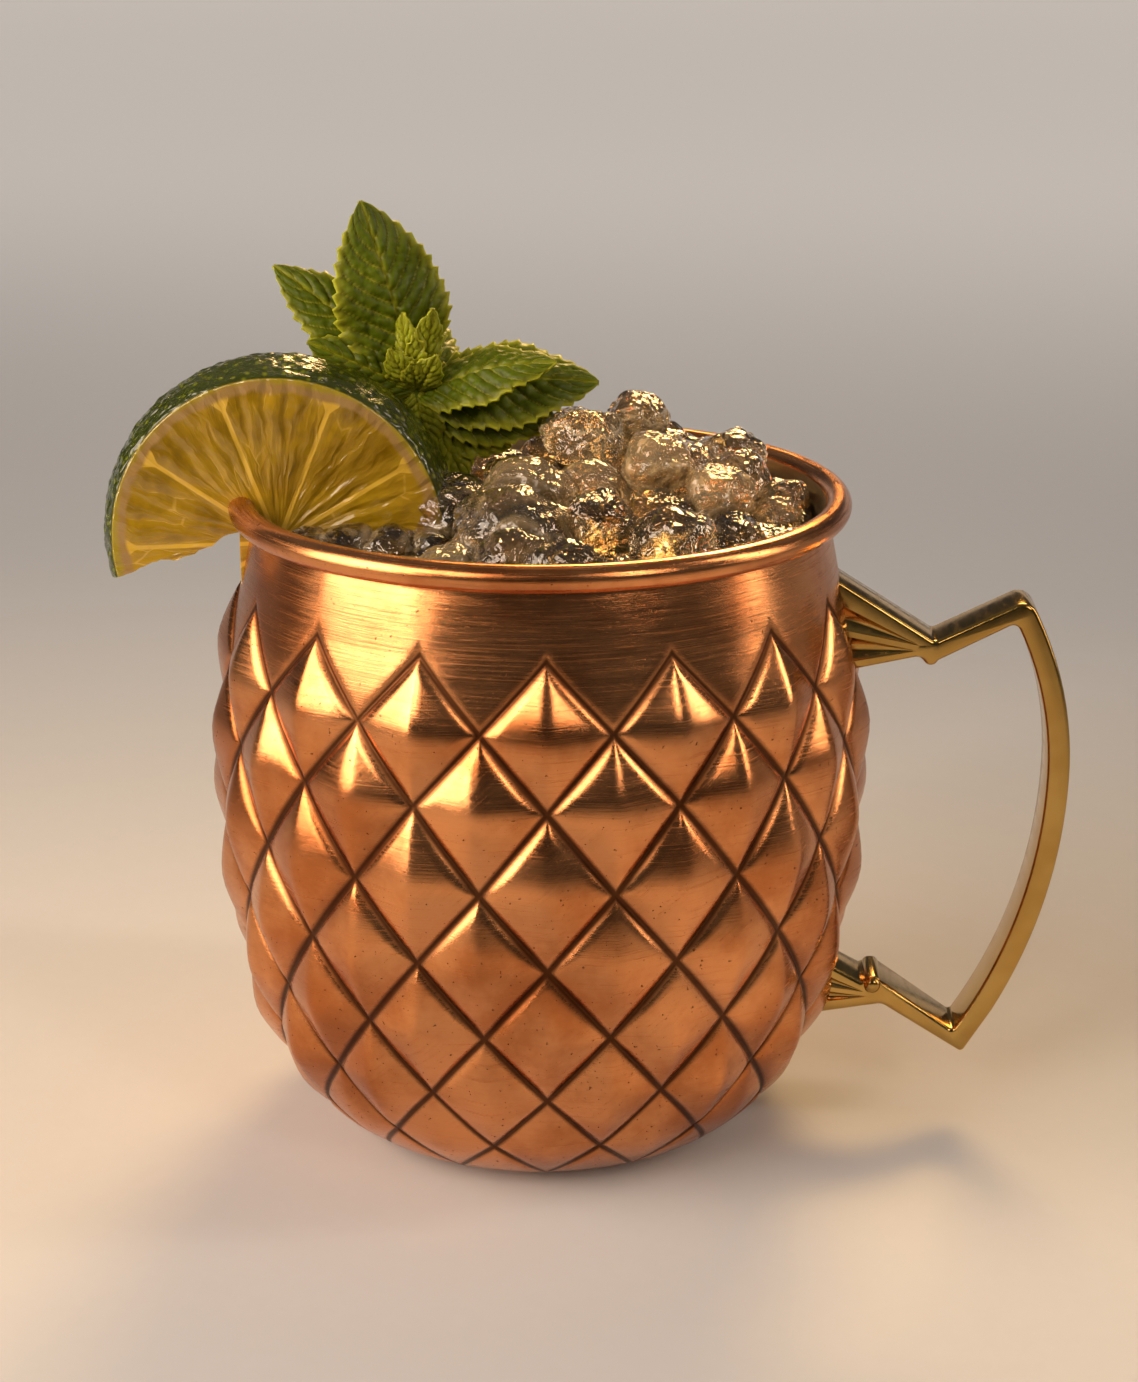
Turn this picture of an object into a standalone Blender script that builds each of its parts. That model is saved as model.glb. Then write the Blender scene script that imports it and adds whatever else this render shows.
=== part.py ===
"""A dimpled copper mug with a strap handle, filled with a drink, crushed ice, lime and mint.

Each piece is one closed solid in metres, +Z up. The origin is the middle of the mug's flat
base, and the handle points along +X.
"""
import random
from math import cos, pi, radians, sin, sqrt, tan

import bmesh
import bpy
from mathutils import Matrix, Vector, noise

# Gap between pieces that touch
GAP = 0.0003

# Mug wall: the groove level is an arc over the belly that runs into a tighter foot arc
BELLY_RADIUS = 0.0452
BELLY_HEIGHT = 0.0535
BELLY_SWEEP = 0.125
FOOT_SWEEP = 0.021
WALL = 0.0010
BAND_RISE = 0.0008
NECK_HEIGHT = 0.0904
INNER_TOP = 0.0890
BAND_HEIGHTS = (0.0831, 0.0870, NECK_HEIGHT)
INNER_HEIGHTS = (0.0800, 0.0680, 0.0535, 0.0390, 0.0250, 0.0144)
COLUMNS = 64

# Rolled rim: a bead that starts at an angle under its outer side
RIM_RADIUS = 0.04175
RIM_HEIGHT = 0.0927
RIM_BEAD = 0.00187
RIM_START = radians(-136)
RIM_STEPS = 7

# Diamond relief: heights of the groove crossings, from the upper tips to the foot
DIAMONDS_ROUND = 16
FIRST_GROOVE = radians(4.93)
ROW_HEIGHTS = (0.0817, 0.0723, 0.0622, 0.0508, 0.0400, 0.0293, 0.0192, 0.0104, 0.0036)
SHOULDER = 0.86
SHOULDER_RISE = 0.00045
APEX_RISE = 0.0017
LAST_APEX_RISE = 0.0009

# Strap handle, in its own XZ plane
HANDLE_WIDTH = 0.0080
HANDLE_EDGE = 0.0007
BOW_REACH = 0.0757
BOW_HEIGHT = 0.0540
BOW_THICKNESS = 0.0032
BOW_SWEEP_UP = 0.052
BOW_SWEEP_DOWN = 0.080
UPPER_CORNER_HEIGHT = 0.0801
LOWER_TIP = (0.0625, 0.0100)
UPPER_ROOT = (0.0829, 0.0685)
UPPER_ROOT_REACH = 0.041
UPPER_VALLEY = (0.0558, 0.0736)
LOWER_ROOT = (0.0150, 0.0272)
LOWER_ROOT_REACH = 0.036
LOWER_VALLEY = (0.0504, 0.0176)
INNER_CORNERS = (0.0136, 0.0765)
LOWER_HEEL = (0.0472, 0.0211)
UPPER_HEEL = (0.0537, 0.0714)
LOWER_KNUCKLE = (0.0491, 0.0209)
UPPER_KNUCKLE = (0.0553, 0.0712)
KNUCKLE_RADIUS = 0.0011
UPPER_CORNER_RADIUS = 0.0022
BOW_STEPS = 9

# Drink and the ice heap that floats on it
DRINK_LEVEL = 0.0886
ICE_MIDDLE = (0.013, 0.002)
ICE_SPREAD = (0.026, 0.036)
ICE_RISE = 0.0040
ICE_REACH = 0.0385
ICE_CEILING = 0.120
NUGGET_SPACING = 0.41
NUGGET_DOME = 0.0065
LEAF_CLEARANCE = 0.0068
# Nuggets that show: x, y, z and width, all in millimetres
NUGGETS = ((-2.4, -16.0, 92.0, 15), (-1.3, -9.4, 95.5, 12), (5.8, 9.1, 99.3, 11),
           (13.0, 22.5, 99.5, 9.5), (16.4, -1.9, 98.0, 10.5), (25.1, -6.5, 94.8, 10.5),
           (26.2, 14.8, 95.5, 10), (33.2, -1.5, 91.0, 7.5), (34.3, 6.8, 91.5, 7),
           (7.3, -3.2, 94.5, 10.5), (17.1, -10.9, 91.8, 12), (26.6, -14.0, 90.5, 9))
HIDDEN_NUGGETS = 17

# Lime slice: a thick wheel with its left part cut away, hung over the rim
LIME_TURN = radians(4)
LIME_RADIUS = 0.0232
LIME_BULGE = 0.0017
LIME_THICKNESS = 0.0140
LIME_MIDDLE = (-0.0364, 0.0005, 0.0880)
LIME_CUT_TOP = (-0.0432, 0.0892)
LIME_CUT_LOW = (-0.0587, 0.0831)
LIME_STEP = -0.0417
# How far the lime's cutters reach past it
CUT_REACH = -0.075
CUT_FLOOR = 0.050

# Mint sprig
STEM_FOOT = (-0.0188, 0.0099, 0.0775)
STEM_TOP = (-0.0184, 0.0098, 0.1085)
STEM_RADIUS = 0.0011
LEAF_THICKNESS = 0.0005
LEAF_ROWS = 10
LEAF_COLUMNS = 4
# Leaves: foot, tip, facing direction, half width, fold and droop, lengths in millimetres
LEAVES = (
    ((-18.4, 9.8, 106.5), (-25.7, 9.2, 132.6), (0.35, -1.0, 0.25), 8.2, 0.30, 1.5),
    ((-18.6, 10.8, 106.5), (-39.0, 13.5, 122.8), (0.15, -0.85, 0.55), 5.6, 0.25, 2.0),
    ((-18.6, 9.4, 106.0), (-33.2, 8.8, 112.9), (-0.25, -0.85, 0.50), 4.0, 0.30, 1.2),
    ((-18.6, 8.9, 107.0), (-19.8, 6.4, 117.4), (-0.55, -0.9, 0.20), 2.8, 0.40, 0.6),
    ((-18.1, 8.9, 107.0), (-15.4, 6.4, 118.0), (0.60, -0.9, 0.15), 2.8, 0.40, 0.6),
    ((-18.0, 9.2, 105.0), (1.9, 6.0, 110.8), (0.05, -0.55, 0.85), 5.6, 0.30, 2.0),
    ((-18.0, 10.4, 104.5), (7.5, 14.0, 106.4), (0.10, -0.75, 0.65), 7.0, 0.25, 3.0),
    ((-18.4, 10.9, 105.5), (-20.5, 30.0, 113.0), (0.05, -0.35, 0.95), 6.0, 0.25, 2.0),
    ((-17.6, 10.9, 104.2), (-5.0, 11.6, 97.2), (0.30, -0.95, 0.20), 5.4, 0.20, 0.8),
    ((-17.9, 10.3, 104.6), (-11.6, 9.9, 92.4), (0.30, -0.95, 0.20), 5.4, 0.20, 0.6),
)
# The last leaves hang down among the ice
LOW_LEAVES = 2


def hex_to_linear(code):
    """Turn an sRGB hex colour into linear values."""
    parts = [int(code[i:i + 2], 16) / 255 for i in (1, 3, 5)]
    return [c / 12.92 if c <= 0.04045 else ((c + 0.055) / 1.055) ** 2.4 for c in parts]


def make_material(name, colour, roughness, metallic=0.0, alpha=1.0):
    """A plain Principled material."""
    material = bpy.data.materials.new(name)
    material.use_nodes = True
    shader = material.node_tree.nodes["Principled BSDF"]
    shader.inputs["Base Color"].default_value = (*hex_to_linear(colour), 1.0)
    shader.inputs["Roughness"].default_value = roughness
    shader.inputs["Metallic"].default_value = metallic
    shader.inputs["Alpha"].default_value = alpha
    return material


def make_collection(name):
    """A new collection in the scene."""
    collection = bpy.data.collections.new(name)
    bpy.context.scene.collection.children.link(collection)
    return collection


def add_object(name, mesh, collection, material=None):
    """Link a mesh to the scene as a named object."""
    piece = bpy.data.objects.new(name, mesh)
    collection.objects.link(piece)
    if material:
        mesh.materials.append(material)
    return piece


def mesh_from(bm, name):
    """Write a bmesh to a new mesh and free it."""
    mesh = bpy.data.meshes.new(name)
    bm.to_mesh(mesh)
    bm.free()
    return mesh


def hide_cutter(cutter):
    """Show a cutter as wires only."""
    cutter.hide_render = True
    cutter.display_type = "WIRE"
    return cutter


def bake(piece):
    """Replace a piece's mesh with its evaluated one, in world space."""
    graph = bpy.context.evaluated_depsgraph_get()
    graph.update()
    mesh = bpy.data.meshes.new_from_object(piece.evaluated_get(graph))
    mesh.transform(piece.matrix_world)
    old = piece.data
    piece.modifiers.clear()
    piece.matrix_world = Matrix.Identity(4)
    piece.data = mesh
    bpy.data.meshes.remove(old)


def turned(name, section, collection, material=None, steps=COLUMNS):
    """A solid of revolution about Z from (radius, height) points, outer side top to bottom."""
    mesh = bpy.data.meshes.new(name)
    edges = [(i, i + 1) for i in range(len(section) - 1)]
    mesh.from_pydata([(r, 0.0, z) for r, z in section], edges, [])
    piece = add_object(name, mesh, collection, material)
    screw = piece.modifiers.new("turn", "SCREW")
    screw.steps = steps
    screw.render_steps = steps
    screw.use_merge_vertices = True
    screw.merge_threshold = 0.00001
    screw.use_smooth_shade = False
    return piece


def boolean(piece, cutter, operation="DIFFERENCE", solver="EXACT"):
    """Add a Boolean modifier with one other object."""
    modifier = piece.modifiers.new(operation.lower(), "BOOLEAN")
    modifier.operation = operation
    modifier.solver = solver
    modifier.object = cutter


def union_all(piece, others, solver="EXACT"):
    """Fuse other objects into a piece with one Boolean on their collection, then drop them."""
    group = bpy.data.collections.new("to_fuse")
    bpy.context.scene.collection.children.link(group)
    for other in others:
        for owner in list(other.users_collection):
            owner.objects.unlink(other)
        group.objects.link(other)
    modifier = piece.modifiers.new("fuse", "BOOLEAN")
    modifier.operation = "UNION"
    modifier.operand_type = "COLLECTION"
    modifier.collection = group
    modifier.solver = solver
    bake(piece)
    for other in others:
        bpy.data.objects.remove(other)
    bpy.data.collections.remove(group)


def islands(bm):
    """The connected groups of vertices."""
    left = set(bm.verts)
    found = []
    while left:
        stack = [left.pop()]
        group = set(stack)
        while stack:
            for edge in stack.pop().link_edges:
                for vert in edge.verts:
                    if vert not in group:
                        group.add(vert)
                        left.discard(vert)
                        stack.append(vert)
        found.append(group)
    return found


def keep_largest(piece, merge=0.00002):
    """Merge doubles and keep only the piece's largest body, so no loose scrap stays."""
    bm = bmesh.new()
    bm.from_mesh(piece.data)
    bmesh.ops.remove_doubles(bm, verts=bm.verts, dist=merge)
    bmesh.ops.dissolve_degenerate(bm, edges=bm.edges, dist=merge / 2)
    groups = sorted(islands(bm), key=len, reverse=True)
    scraps = [vert for group in groups[1:] for vert in group]
    bmesh.ops.delete(bm, geom=scraps, context="VERTS")
    bmesh.ops.triangulate(bm, faces=bm.faces)
    bm.to_mesh(piece.data)
    bm.free()


def foot_radius():
    """Radius of the flat base, where the foot arc starts."""
    reach = BELLY_SWEEP - FOOT_SWEEP
    drop = BELLY_HEIGHT - FOOT_SWEEP
    return BELLY_RADIUS - BELLY_SWEEP + sqrt(reach * reach - drop * drop)


def wall_section(height, rise=0.0):
    """The mug's section at a height of its groove level, moved out along its normal by rise."""
    join = BELLY_HEIGHT - (BELLY_HEIGHT - FOOT_SWEEP) * BELLY_SWEEP / (BELLY_SWEEP - FOOT_SWEEP)
    if height > join:
        middle, level, sweep = BELLY_RADIUS - BELLY_SWEEP, BELLY_HEIGHT, BELLY_SWEEP
    else:
        middle, level, sweep = foot_radius(), FOOT_SWEEP, FOOT_SWEEP
    lift = (height - level) / sweep
    out = sqrt(max(0.0, 1.0 - lift * lift))
    return middle + (sweep + rise) * out, level + (sweep + rise) * lift


def row_height(row):
    """Height on the wall of a place between the rows of groove crossings."""
    index = min(int(row), len(ROW_HEIGHTS) - 2)
    upper, lower = ROW_HEIGHTS[index], ROW_HEIGHTS[index + 1]
    return upper + (lower - upper) * (row - index)


class WallBuilder:
    """Makes the wall's vertices once each, by their place on the diamond lattice."""

    def __init__(self, clearance=0.0):
        self.bm = bmesh.new()
        self.clearance = clearance
        self.made = {}

    def vert(self, column, height, rise):
        """A vertex at a half-diamond column round the mug, a wall height and a rise."""
        column %= 2 * DIAMONDS_ROUND
        key = (round(column * 1000), round(height * 1e7), round(rise * 1e7))
        if key not in self.made:
            radius, level = wall_section(height, rise + self.clearance)
            angle = FIRST_GROOVE + column * pi / DIAMONDS_ROUND
            self.made[key] = self.bm.verts.new((radius * sin(angle), -radius * cos(angle), level))
        return self.made[key]

    def lattice(self, column, row, rise):
        """A vertex by its row among the groove crossings."""
        return self.vert(column, row_height(row), rise)

    def ring(self, radius, level):
        """A full circle of vertices at a given radius and height."""
        verts = []
        for i in range(COLUMNS):
            angle = FIRST_GROOVE + i * 2 * pi / COLUMNS
            verts.append(self.bm.verts.new((radius * sin(angle), -radius * cos(angle), level)))
        return verts

    def bridge(self, upper, lower):
        """Join two rings with triangles."""
        for i in range(COLUMNS):
            a, b = upper[i], upper[(i + 1) % COLUMNS]
            c, d = lower[(i + 1) % COLUMNS], lower[i]
            self.bm.faces.new((a, d, c))
            self.bm.faces.new((a, c, b))


def groove_rise(row):
    """Grooves fade out below the last full crossing."""
    return SHOULDER_RISE * max(0.0, row - (len(ROW_HEIGHTS) - 2))


def add_diamond(wall, column, row, rise):
    """One raised diamond: a groove flank all round and four facets up to its apex."""
    around = ((0, -1), (0.5, -0.5), (1, 0), (0.5, 0.5), (0, 1), (-0.5, 0.5), (-1, 0), (-0.5, -0.5))
    outer = [wall.lattice(column + x, row + y, groove_rise(row + y)) for x, y in around]
    inner = [wall.lattice(column + x * SHOULDER, row + y * SHOULDER, SHOULDER_RISE)
             for x, y in around]
    apex = wall.lattice(column, row, rise)
    for i in range(8):
        j = (i + 1) % 8
        wall.bm.faces.new((outer[i], inner[i], inner[j]))
        wall.bm.faces.new((outer[i], inner[j], outer[j]))
        wall.bm.faces.new((inner[i], apex, inner[j]))


def add_gusset(wall, column, row, side, rise):
    """The plain triangle of wall between two diamond tips; side is 1 below the row, -1 above."""
    around = ((-1, 0), (-0.5, 0.5 * side), (0, side), (0.5, 0.5 * side), (1, 0))
    outer = [wall.lattice(column + x, row + y, groove_rise(row + y)) for x, y in around]
    inner = [wall.lattice(column + x * SHOULDER, row + y * SHOULDER, rise) for x, y in around]
    middle = wall.lattice(column, row, rise)
    for i in range(4):
        wall.bm.faces.new((outer[i], inner[i], inner[i + 1]))
        wall.bm.faces.new((outer[i], inner[i + 1], outer[i + 1]))
        wall.bm.faces.new((inner[i], middle, inner[i + 1]))


def edge_ring(wall, row, rise):
    """The ring of vertices that the gussets leave along the first or the last row."""
    ring = []
    for column in range(1, 2 * DIAMONDS_ROUND, 2):
        ring.append(wall.lattice(column - 1, row, groove_rise(row)))
        for step in (-SHOULDER, 0, SHOULDER):
            ring.append(wall.lattice(column + step, row, rise))
    return ring


def add_relief(wall):
    """All rows of diamonds, and the gussets at the upper tips and at the foot."""
    last = len(ROW_HEIGHTS) - 1
    for row in range(1, last):
        rise = LAST_APEX_RISE if row == last - 1 else APEX_RISE
        for column in range((row + 1) % 2, 2 * DIAMONDS_ROUND, 2):
            add_diamond(wall, column, row, rise)
    for column in range(1, 2 * DIAMONDS_ROUND, 2):
        add_gusset(wall, column, 0, 1, BAND_RISE)
        add_gusset(wall, column, last, -1, SHOULDER_RISE)


def band_rings(wall):
    """Rings of the plain band above the diamonds, up to the neck."""
    rise = BAND_RISE + wall.clearance
    return [wall.ring(*wall_section(height, rise)) for height in BAND_HEIGHTS]


def foot_rings(wall):
    """Rings below the relief, round the foot arc to the flat base."""
    rings = []
    for share in (0.55, 0.2):
        height = ROW_HEIGHTS[-1] * share
        rings.append(wall.ring(*wall_section(height, SHOULDER_RISE * share + wall.clearance)))
    rings.append(wall.ring(foot_radius(), -wall.clearance))
    return rings


def inner_section(offset, top):
    """Points of the inner face moved in by offset, from the top down to the floor."""
    points = [wall_section(height, -offset) for height in (top, *INNER_HEIGHTS)]
    for share in (0.42, 0.12):
        points.append(wall_section(INNER_HEIGHTS[-1] * share, -offset))
    points.append((foot_radius(), offset))
    return points


def close_ring(wall, ring):
    """Fill a flat ring with a fan of triangles."""
    middle = wall.bm.verts.new((0.0, 0.0, ring[0].co.z))
    for i in range(COLUMNS):
        wall.bm.faces.new((ring[i], ring[(i + 1) % COLUMNS], middle))


def make_mug(collection, material):
    """The mug: diamond relief, plain band, rolled rim, smooth inner face and flat base."""
    wall = WallBuilder()
    add_relief(wall)
    rings = band_rings(wall)[::-1]
    rings.append(edge_ring(wall, 0, BAND_RISE))
    bead = []
    for i in range(RIM_STEPS + 1):
        angle = RIM_START + (pi - RIM_START) * i / RIM_STEPS
        reach = RIM_RADIUS + RIM_BEAD * cos(angle)
        bead.append(wall.ring(reach, RIM_HEIGHT + RIM_BEAD * sin(angle)))
    inside = [wall.ring(r, z) for r, z in inner_section(WALL, INNER_TOP)]
    outside = bead[::-1] + rings
    for upper, lower in zip(outside, outside[1:]):
        wall.bridge(upper, lower)
    lower_rings = [edge_ring(wall, len(ROW_HEIGHTS) - 1, SHOULDER_RISE)] + foot_rings(wall)
    for upper, lower in zip(lower_rings, lower_rings[1:]):
        wall.bridge(upper, lower)
    close_ring(wall, lower_rings[-1])
    inner_rings = [bead[-1]] + inside
    for upper, lower in zip(inner_rings, inner_rings[1:]):
        wall.bridge(upper, lower)
    close_ring(wall, inside[-1])
    bmesh.ops.recalc_face_normals(wall.bm, faces=wall.bm.faces)
    return add_object("mug_body", mesh_from(wall.bm, "mug_body"), collection, material)


def make_mug_envelope(cutters):
    """The mug's outer form as a solid grown by the gap, which trims the handle's roots."""
    wall = WallBuilder(clearance=GAP)
    add_relief(wall)
    rings = band_rings(wall)[::-1] + [edge_ring(wall, 0, BAND_RISE)]
    lower_rings = [edge_ring(wall, len(ROW_HEIGHTS) - 1, SHOULDER_RISE)] + foot_rings(wall)
    for chain in (rings, lower_rings):
        for upper, lower in zip(chain, chain[1:]):
            wall.bridge(upper, lower)
    close_ring(wall, rings[0])
    close_ring(wall, lower_rings[-1])
    bmesh.ops.recalc_face_normals(wall.bm, faces=wall.bm.faces)
    return hide_cutter(add_object("mug_envelope", mesh_from(wall.bm, "mug_envelope"), cutters))


def flat_piece(name, outline, thickness, collection):
    """A mesh plate in the XZ plane, extruded to both sides along Y."""
    curve = bpy.data.curves.new(name, "CURVE")
    curve.dimensions = "2D"
    curve.fill_mode = "BOTH"
    curve.extrude = thickness / 2
    spline = curve.splines.new("POLY")
    spline.points.add(len(outline) - 1)
    for point, (x, z) in zip(spline.points, outline):
        point.co = (x, z, 0.0, 1.0)
    spline.use_cyclic_u = True
    drawn = bpy.data.objects.new(name + "_outline", curve)
    collection.objects.link(drawn)
    graph = bpy.context.evaluated_depsgraph_get()
    graph.update()
    mesh = bpy.data.meshes.new_from_object(drawn.evaluated_get(graph))
    bpy.data.objects.remove(drawn)
    bm = bmesh.new()
    bm.from_mesh(mesh)
    bmesh.ops.remove_doubles(bm, verts=bm.verts, dist=0.00001)
    bmesh.ops.rotate(bm, verts=bm.verts, cent=(0, 0, 0), matrix=Matrix.Rotation(pi / 2, 3, "X"))
    bmesh.ops.recalc_face_normals(bm, faces=bm.faces)
    bm.to_mesh(mesh)
    bm.free()
    return add_object(name, mesh, collection)


def bow_reach(height, inset=0.0):
    """Reach of the handle's bow at a height, moved in by inset."""
    sweep = BOW_SWEEP_UP if height > BOW_HEIGHT else BOW_SWEEP_DOWN
    drop = height - BOW_HEIGHT
    return BOW_REACH - sweep + sqrt((sweep - inset) ** 2 - drop * drop)


def knuckle(x, z, start, end):
    """A small half-round bump on the strap's edge, from one angle to another."""
    angles = [radians(start + (end - start) * i / 4) for i in range(5)]
    return [(x + KNUCKLE_RADIUS * cos(a), z + KNUCKLE_RADIUS * sin(a)) for a in angles]


def round_corner(before, corner, after, radius):
    """Three points that round a corner between two straight runs."""
    before, corner, after = Vector(before), Vector(corner), Vector(after)
    back, on = (before - corner).normalized(), (after - corner).normalized()
    half = back.angle(on) / 2
    middle = corner + (back + on).normalized() * radius / sin(half)
    start, end = corner + back * radius / tan(half), corner + on * radius / tan(half)
    return [tuple(start), tuple(middle + (corner - middle).normalized() * radius), tuple(end)]


def handle_outline():
    """The strap's outline: down the outer bow from the upper root, and back along the inside."""
    outline = [(UPPER_ROOT_REACH, UPPER_ROOT[0]), UPPER_VALLEY]
    low = LOWER_TIP[1] + 0.0070
    bow = []
    for i in range(BOW_STEPS + 1):
        height = UPPER_CORNER_HEIGHT + (low - UPPER_CORNER_HEIGHT) * i / BOW_STEPS
        bow.append((bow_reach(height), height))
    outline += round_corner(UPPER_VALLEY, bow[0], bow[1], UPPER_CORNER_RADIUS) + bow[1:]
    outline += [LOWER_TIP, LOWER_VALLEY, (LOWER_ROOT_REACH, LOWER_ROOT[0])]
    outline += [(LOWER_ROOT_REACH, LOWER_ROOT[1]), LOWER_HEEL]
    outline += knuckle(*LOWER_KNUCKLE, 150, 20)
    low, high = INNER_CORNERS
    for i in range(BOW_STEPS + 1):
        height = low + (high - low) * i / BOW_STEPS
        outline.append((bow_reach(height, BOW_THICKNESS), height))
    outline += knuckle(*UPPER_KNUCKLE, -20, -150)
    outline += [UPPER_HEEL, (UPPER_ROOT_REACH, UPPER_ROOT[1])]
    return outline


def make_handle(collection, envelope, material):
    """The strap handle with softened edges, its roots cut to the mug's wall."""
    handle = flat_piece("handle", handle_outline(), HANDLE_WIDTH, collection)
    handle.data.materials.append(material)
    bevel = handle.modifiers.new("soft_edges", "BEVEL")
    bevel.width = HANDLE_EDGE
    bevel.segments = 1
    bevel.limit_method = "ANGLE"
    bevel.angle_limit = radians(60)
    boolean(handle, envelope)
    bake(handle)
    keep_largest(handle)
    return handle


def barrel_section(grow=0.0):
    """Section of the whole lime wheel about its own axis."""
    half = LIME_THICKNESS / 2 + grow
    section = [(0.0, half)]
    for i in range(5):
        along = 1 - i / 2
        section.append((LIME_RADIUS + grow + LIME_BULGE * (1 - along * along), half * along))
    section.append((0.0, -half))
    return section


def stand_lime(wheel):
    """Stand a wheel turned about Z up in its place over the rim."""
    turn = Matrix.Rotation(LIME_TURN, 4, "Z")
    wheel.matrix_world = turn @ Matrix.Translation(LIME_MIDDLE) @ Matrix.Rotation(pi / 2, 4, "X")


def make_lime(collection, cutters, material):
    """The lime slice, cut away outside the mug and notched over the rim."""
    lime = turned("lime_slice", barrel_section(), collection, material, 56)
    stand_lime(lime)
    clear = WALL + GAP * 1.2
    notch = [wall_section(INNER_TOP, -clear)]
    for i in range(7):
        angle = pi - pi * i / 6
        bead = RIM_BEAD + GAP * 1.2
        notch.append((RIM_RADIUS + bead * cos(angle), RIM_HEIGHT + bead * sin(angle)))
    outer = notch[-1][0]
    lower = [wall_section(height, -clear) for height in (0.055, 0.066, 0.077)]
    section = [notch[-1], (outer, CUT_FLOOR), (lower[0][0], CUT_FLOOR)] + lower + notch
    rim_cut = hide_cutter(turned("rim_notch", section, cutters))
    slope = (LIME_CUT_TOP[1] - LIME_CUT_LOW[1]) / (LIME_CUT_TOP[0] - LIME_CUT_LOW[0])
    wedge = [LIME_CUT_TOP, LIME_CUT_LOW]
    wedge += [(CUT_REACH, LIME_CUT_LOW[1] + slope * (CUT_REACH - LIME_CUT_LOW[0]))]
    wedge += [(CUT_REACH, CUT_FLOOR), (LIME_STEP, CUT_FLOOR), (LIME_STEP, LIME_CUT_TOP[1] + GAP)]
    away = hide_cutter(flat_piece("lime_wedge", wedge, 0.06, cutters))
    away.matrix_world = Matrix.Rotation(LIME_TURN, 4, "Z")
    boolean(lime, away)
    boolean(lime, rim_cut)
    bake(lime)
    keep_largest(lime)
    return lime


def make_pocket(cutters):
    """The lime wheel grown by the gap, which cuts the drink and the ice."""
    pocket = hide_cutter(turned("lime_pocket", barrel_section(GAP), cutters, None, 56))
    stand_lime(pocket)
    return pocket


def make_stem_pocket(cutters):
    """A round hole for the stem."""
    foot, top = Vector(STEM_FOOT), Vector(STEM_TOP)
    foot.z -= GAP
    bm = bmesh.new()
    radius = STEM_RADIUS + GAP * 1.5
    bmesh.ops.create_cone(bm, cap_ends=True, segments=12, radius1=radius, radius2=radius,
                          depth=(top - foot).length)
    turn = (top - foot).to_track_quat("Z", "Y").to_matrix().to_4x4()
    bmesh.ops.transform(bm, matrix=Matrix.Translation((foot + top) / 2) @ turn, verts=bm.verts)
    return hide_cutter(add_object("stem_pocket", mesh_from(bm, "stem_pocket"), cutters))


def make_drink(collection, pockets, material):
    """The drink, up to its level, cut round the lime and the stem."""
    inner = inner_section(WALL + GAP, DRINK_LEVEL)
    inner[0] = (inner[0][0], DRINK_LEVEL)
    section = [(0.0, DRINK_LEVEL)] + inner + [(0.0, inner[-1][1])]
    drink = turned("drink", section, collection, material, 32)
    for pocket in pockets:
        boolean(drink, pocket)
    bake(drink)
    keep_largest(drink)
    return drink


def add_nugget(place, width, seed, collection):
    """One ice nugget: a lumpy, slightly flat ball with few sides."""
    bm = bmesh.new()
    bmesh.ops.create_icosphere(bm, subdivisions=2, radius=0.5)
    draw = random.Random(seed)
    shift = Vector((draw.uniform(-9, 9), draw.uniform(-9, 9), draw.uniform(-9, 9)))
    stretch = Vector((draw.uniform(0.92, 1.12), draw.uniform(0.85, 1.05), draw.uniform(0.70, 0.85)))
    for vert in bm.verts:
        lump = 1 + 0.22 * noise.noise(vert.co * 3.2 + shift)
        vert.co = vert.co * lump * stretch * width
    turn = Matrix.Rotation(draw.uniform(0, pi), 4, "Z")
    bmesh.ops.transform(bm, matrix=Matrix.Translation(place) @ turn, verts=bm.verts)
    return add_object("nugget", mesh_from(bm, "nugget"), collection)


def nugget_places():
    """The nuggets that show, then others by rule where the heap goes on out of sight."""
    places = [(Vector(row[:3]) / 1000, row[3] / 1000) for row in NUGGETS]
    low_tips = [Vector(row[1]) / 1000 for row in LEAVES[-LOW_LEAVES:]]
    draw = random.Random(11)
    tries = 0
    while len(places) < len(NUGGETS) + HIDDEN_NUGGETS and tries < 4000:
        tries += 1
        angle, reach = draw.uniform(0, 2 * pi), sqrt(draw.uniform(0.02, 1))
        x = ICE_MIDDLE[0] + ICE_SPREAD[0] * reach * cos(angle)
        y = ICE_MIDDLE[1] + ICE_SPREAD[1] * reach * sin(angle)
        width = draw.uniform(0.0095, 0.0128)
        dome = sqrt(max(0.0, 1 - reach * reach * 0.9))
        spot = Vector((x, y, DRINK_LEVEL + NUGGET_DOME * dome))
        clear = all((spot - other).length > NUGGET_SPACING * (width + size)
                    for other, size in places)
        clear = clear and all((spot - tip).length > width / 2 + LEAF_CLEARANCE for tip in low_tips)
        if clear and Vector((x, y)).length + width / 2 < ICE_REACH:
            places.append((spot, width))
    return places


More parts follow.
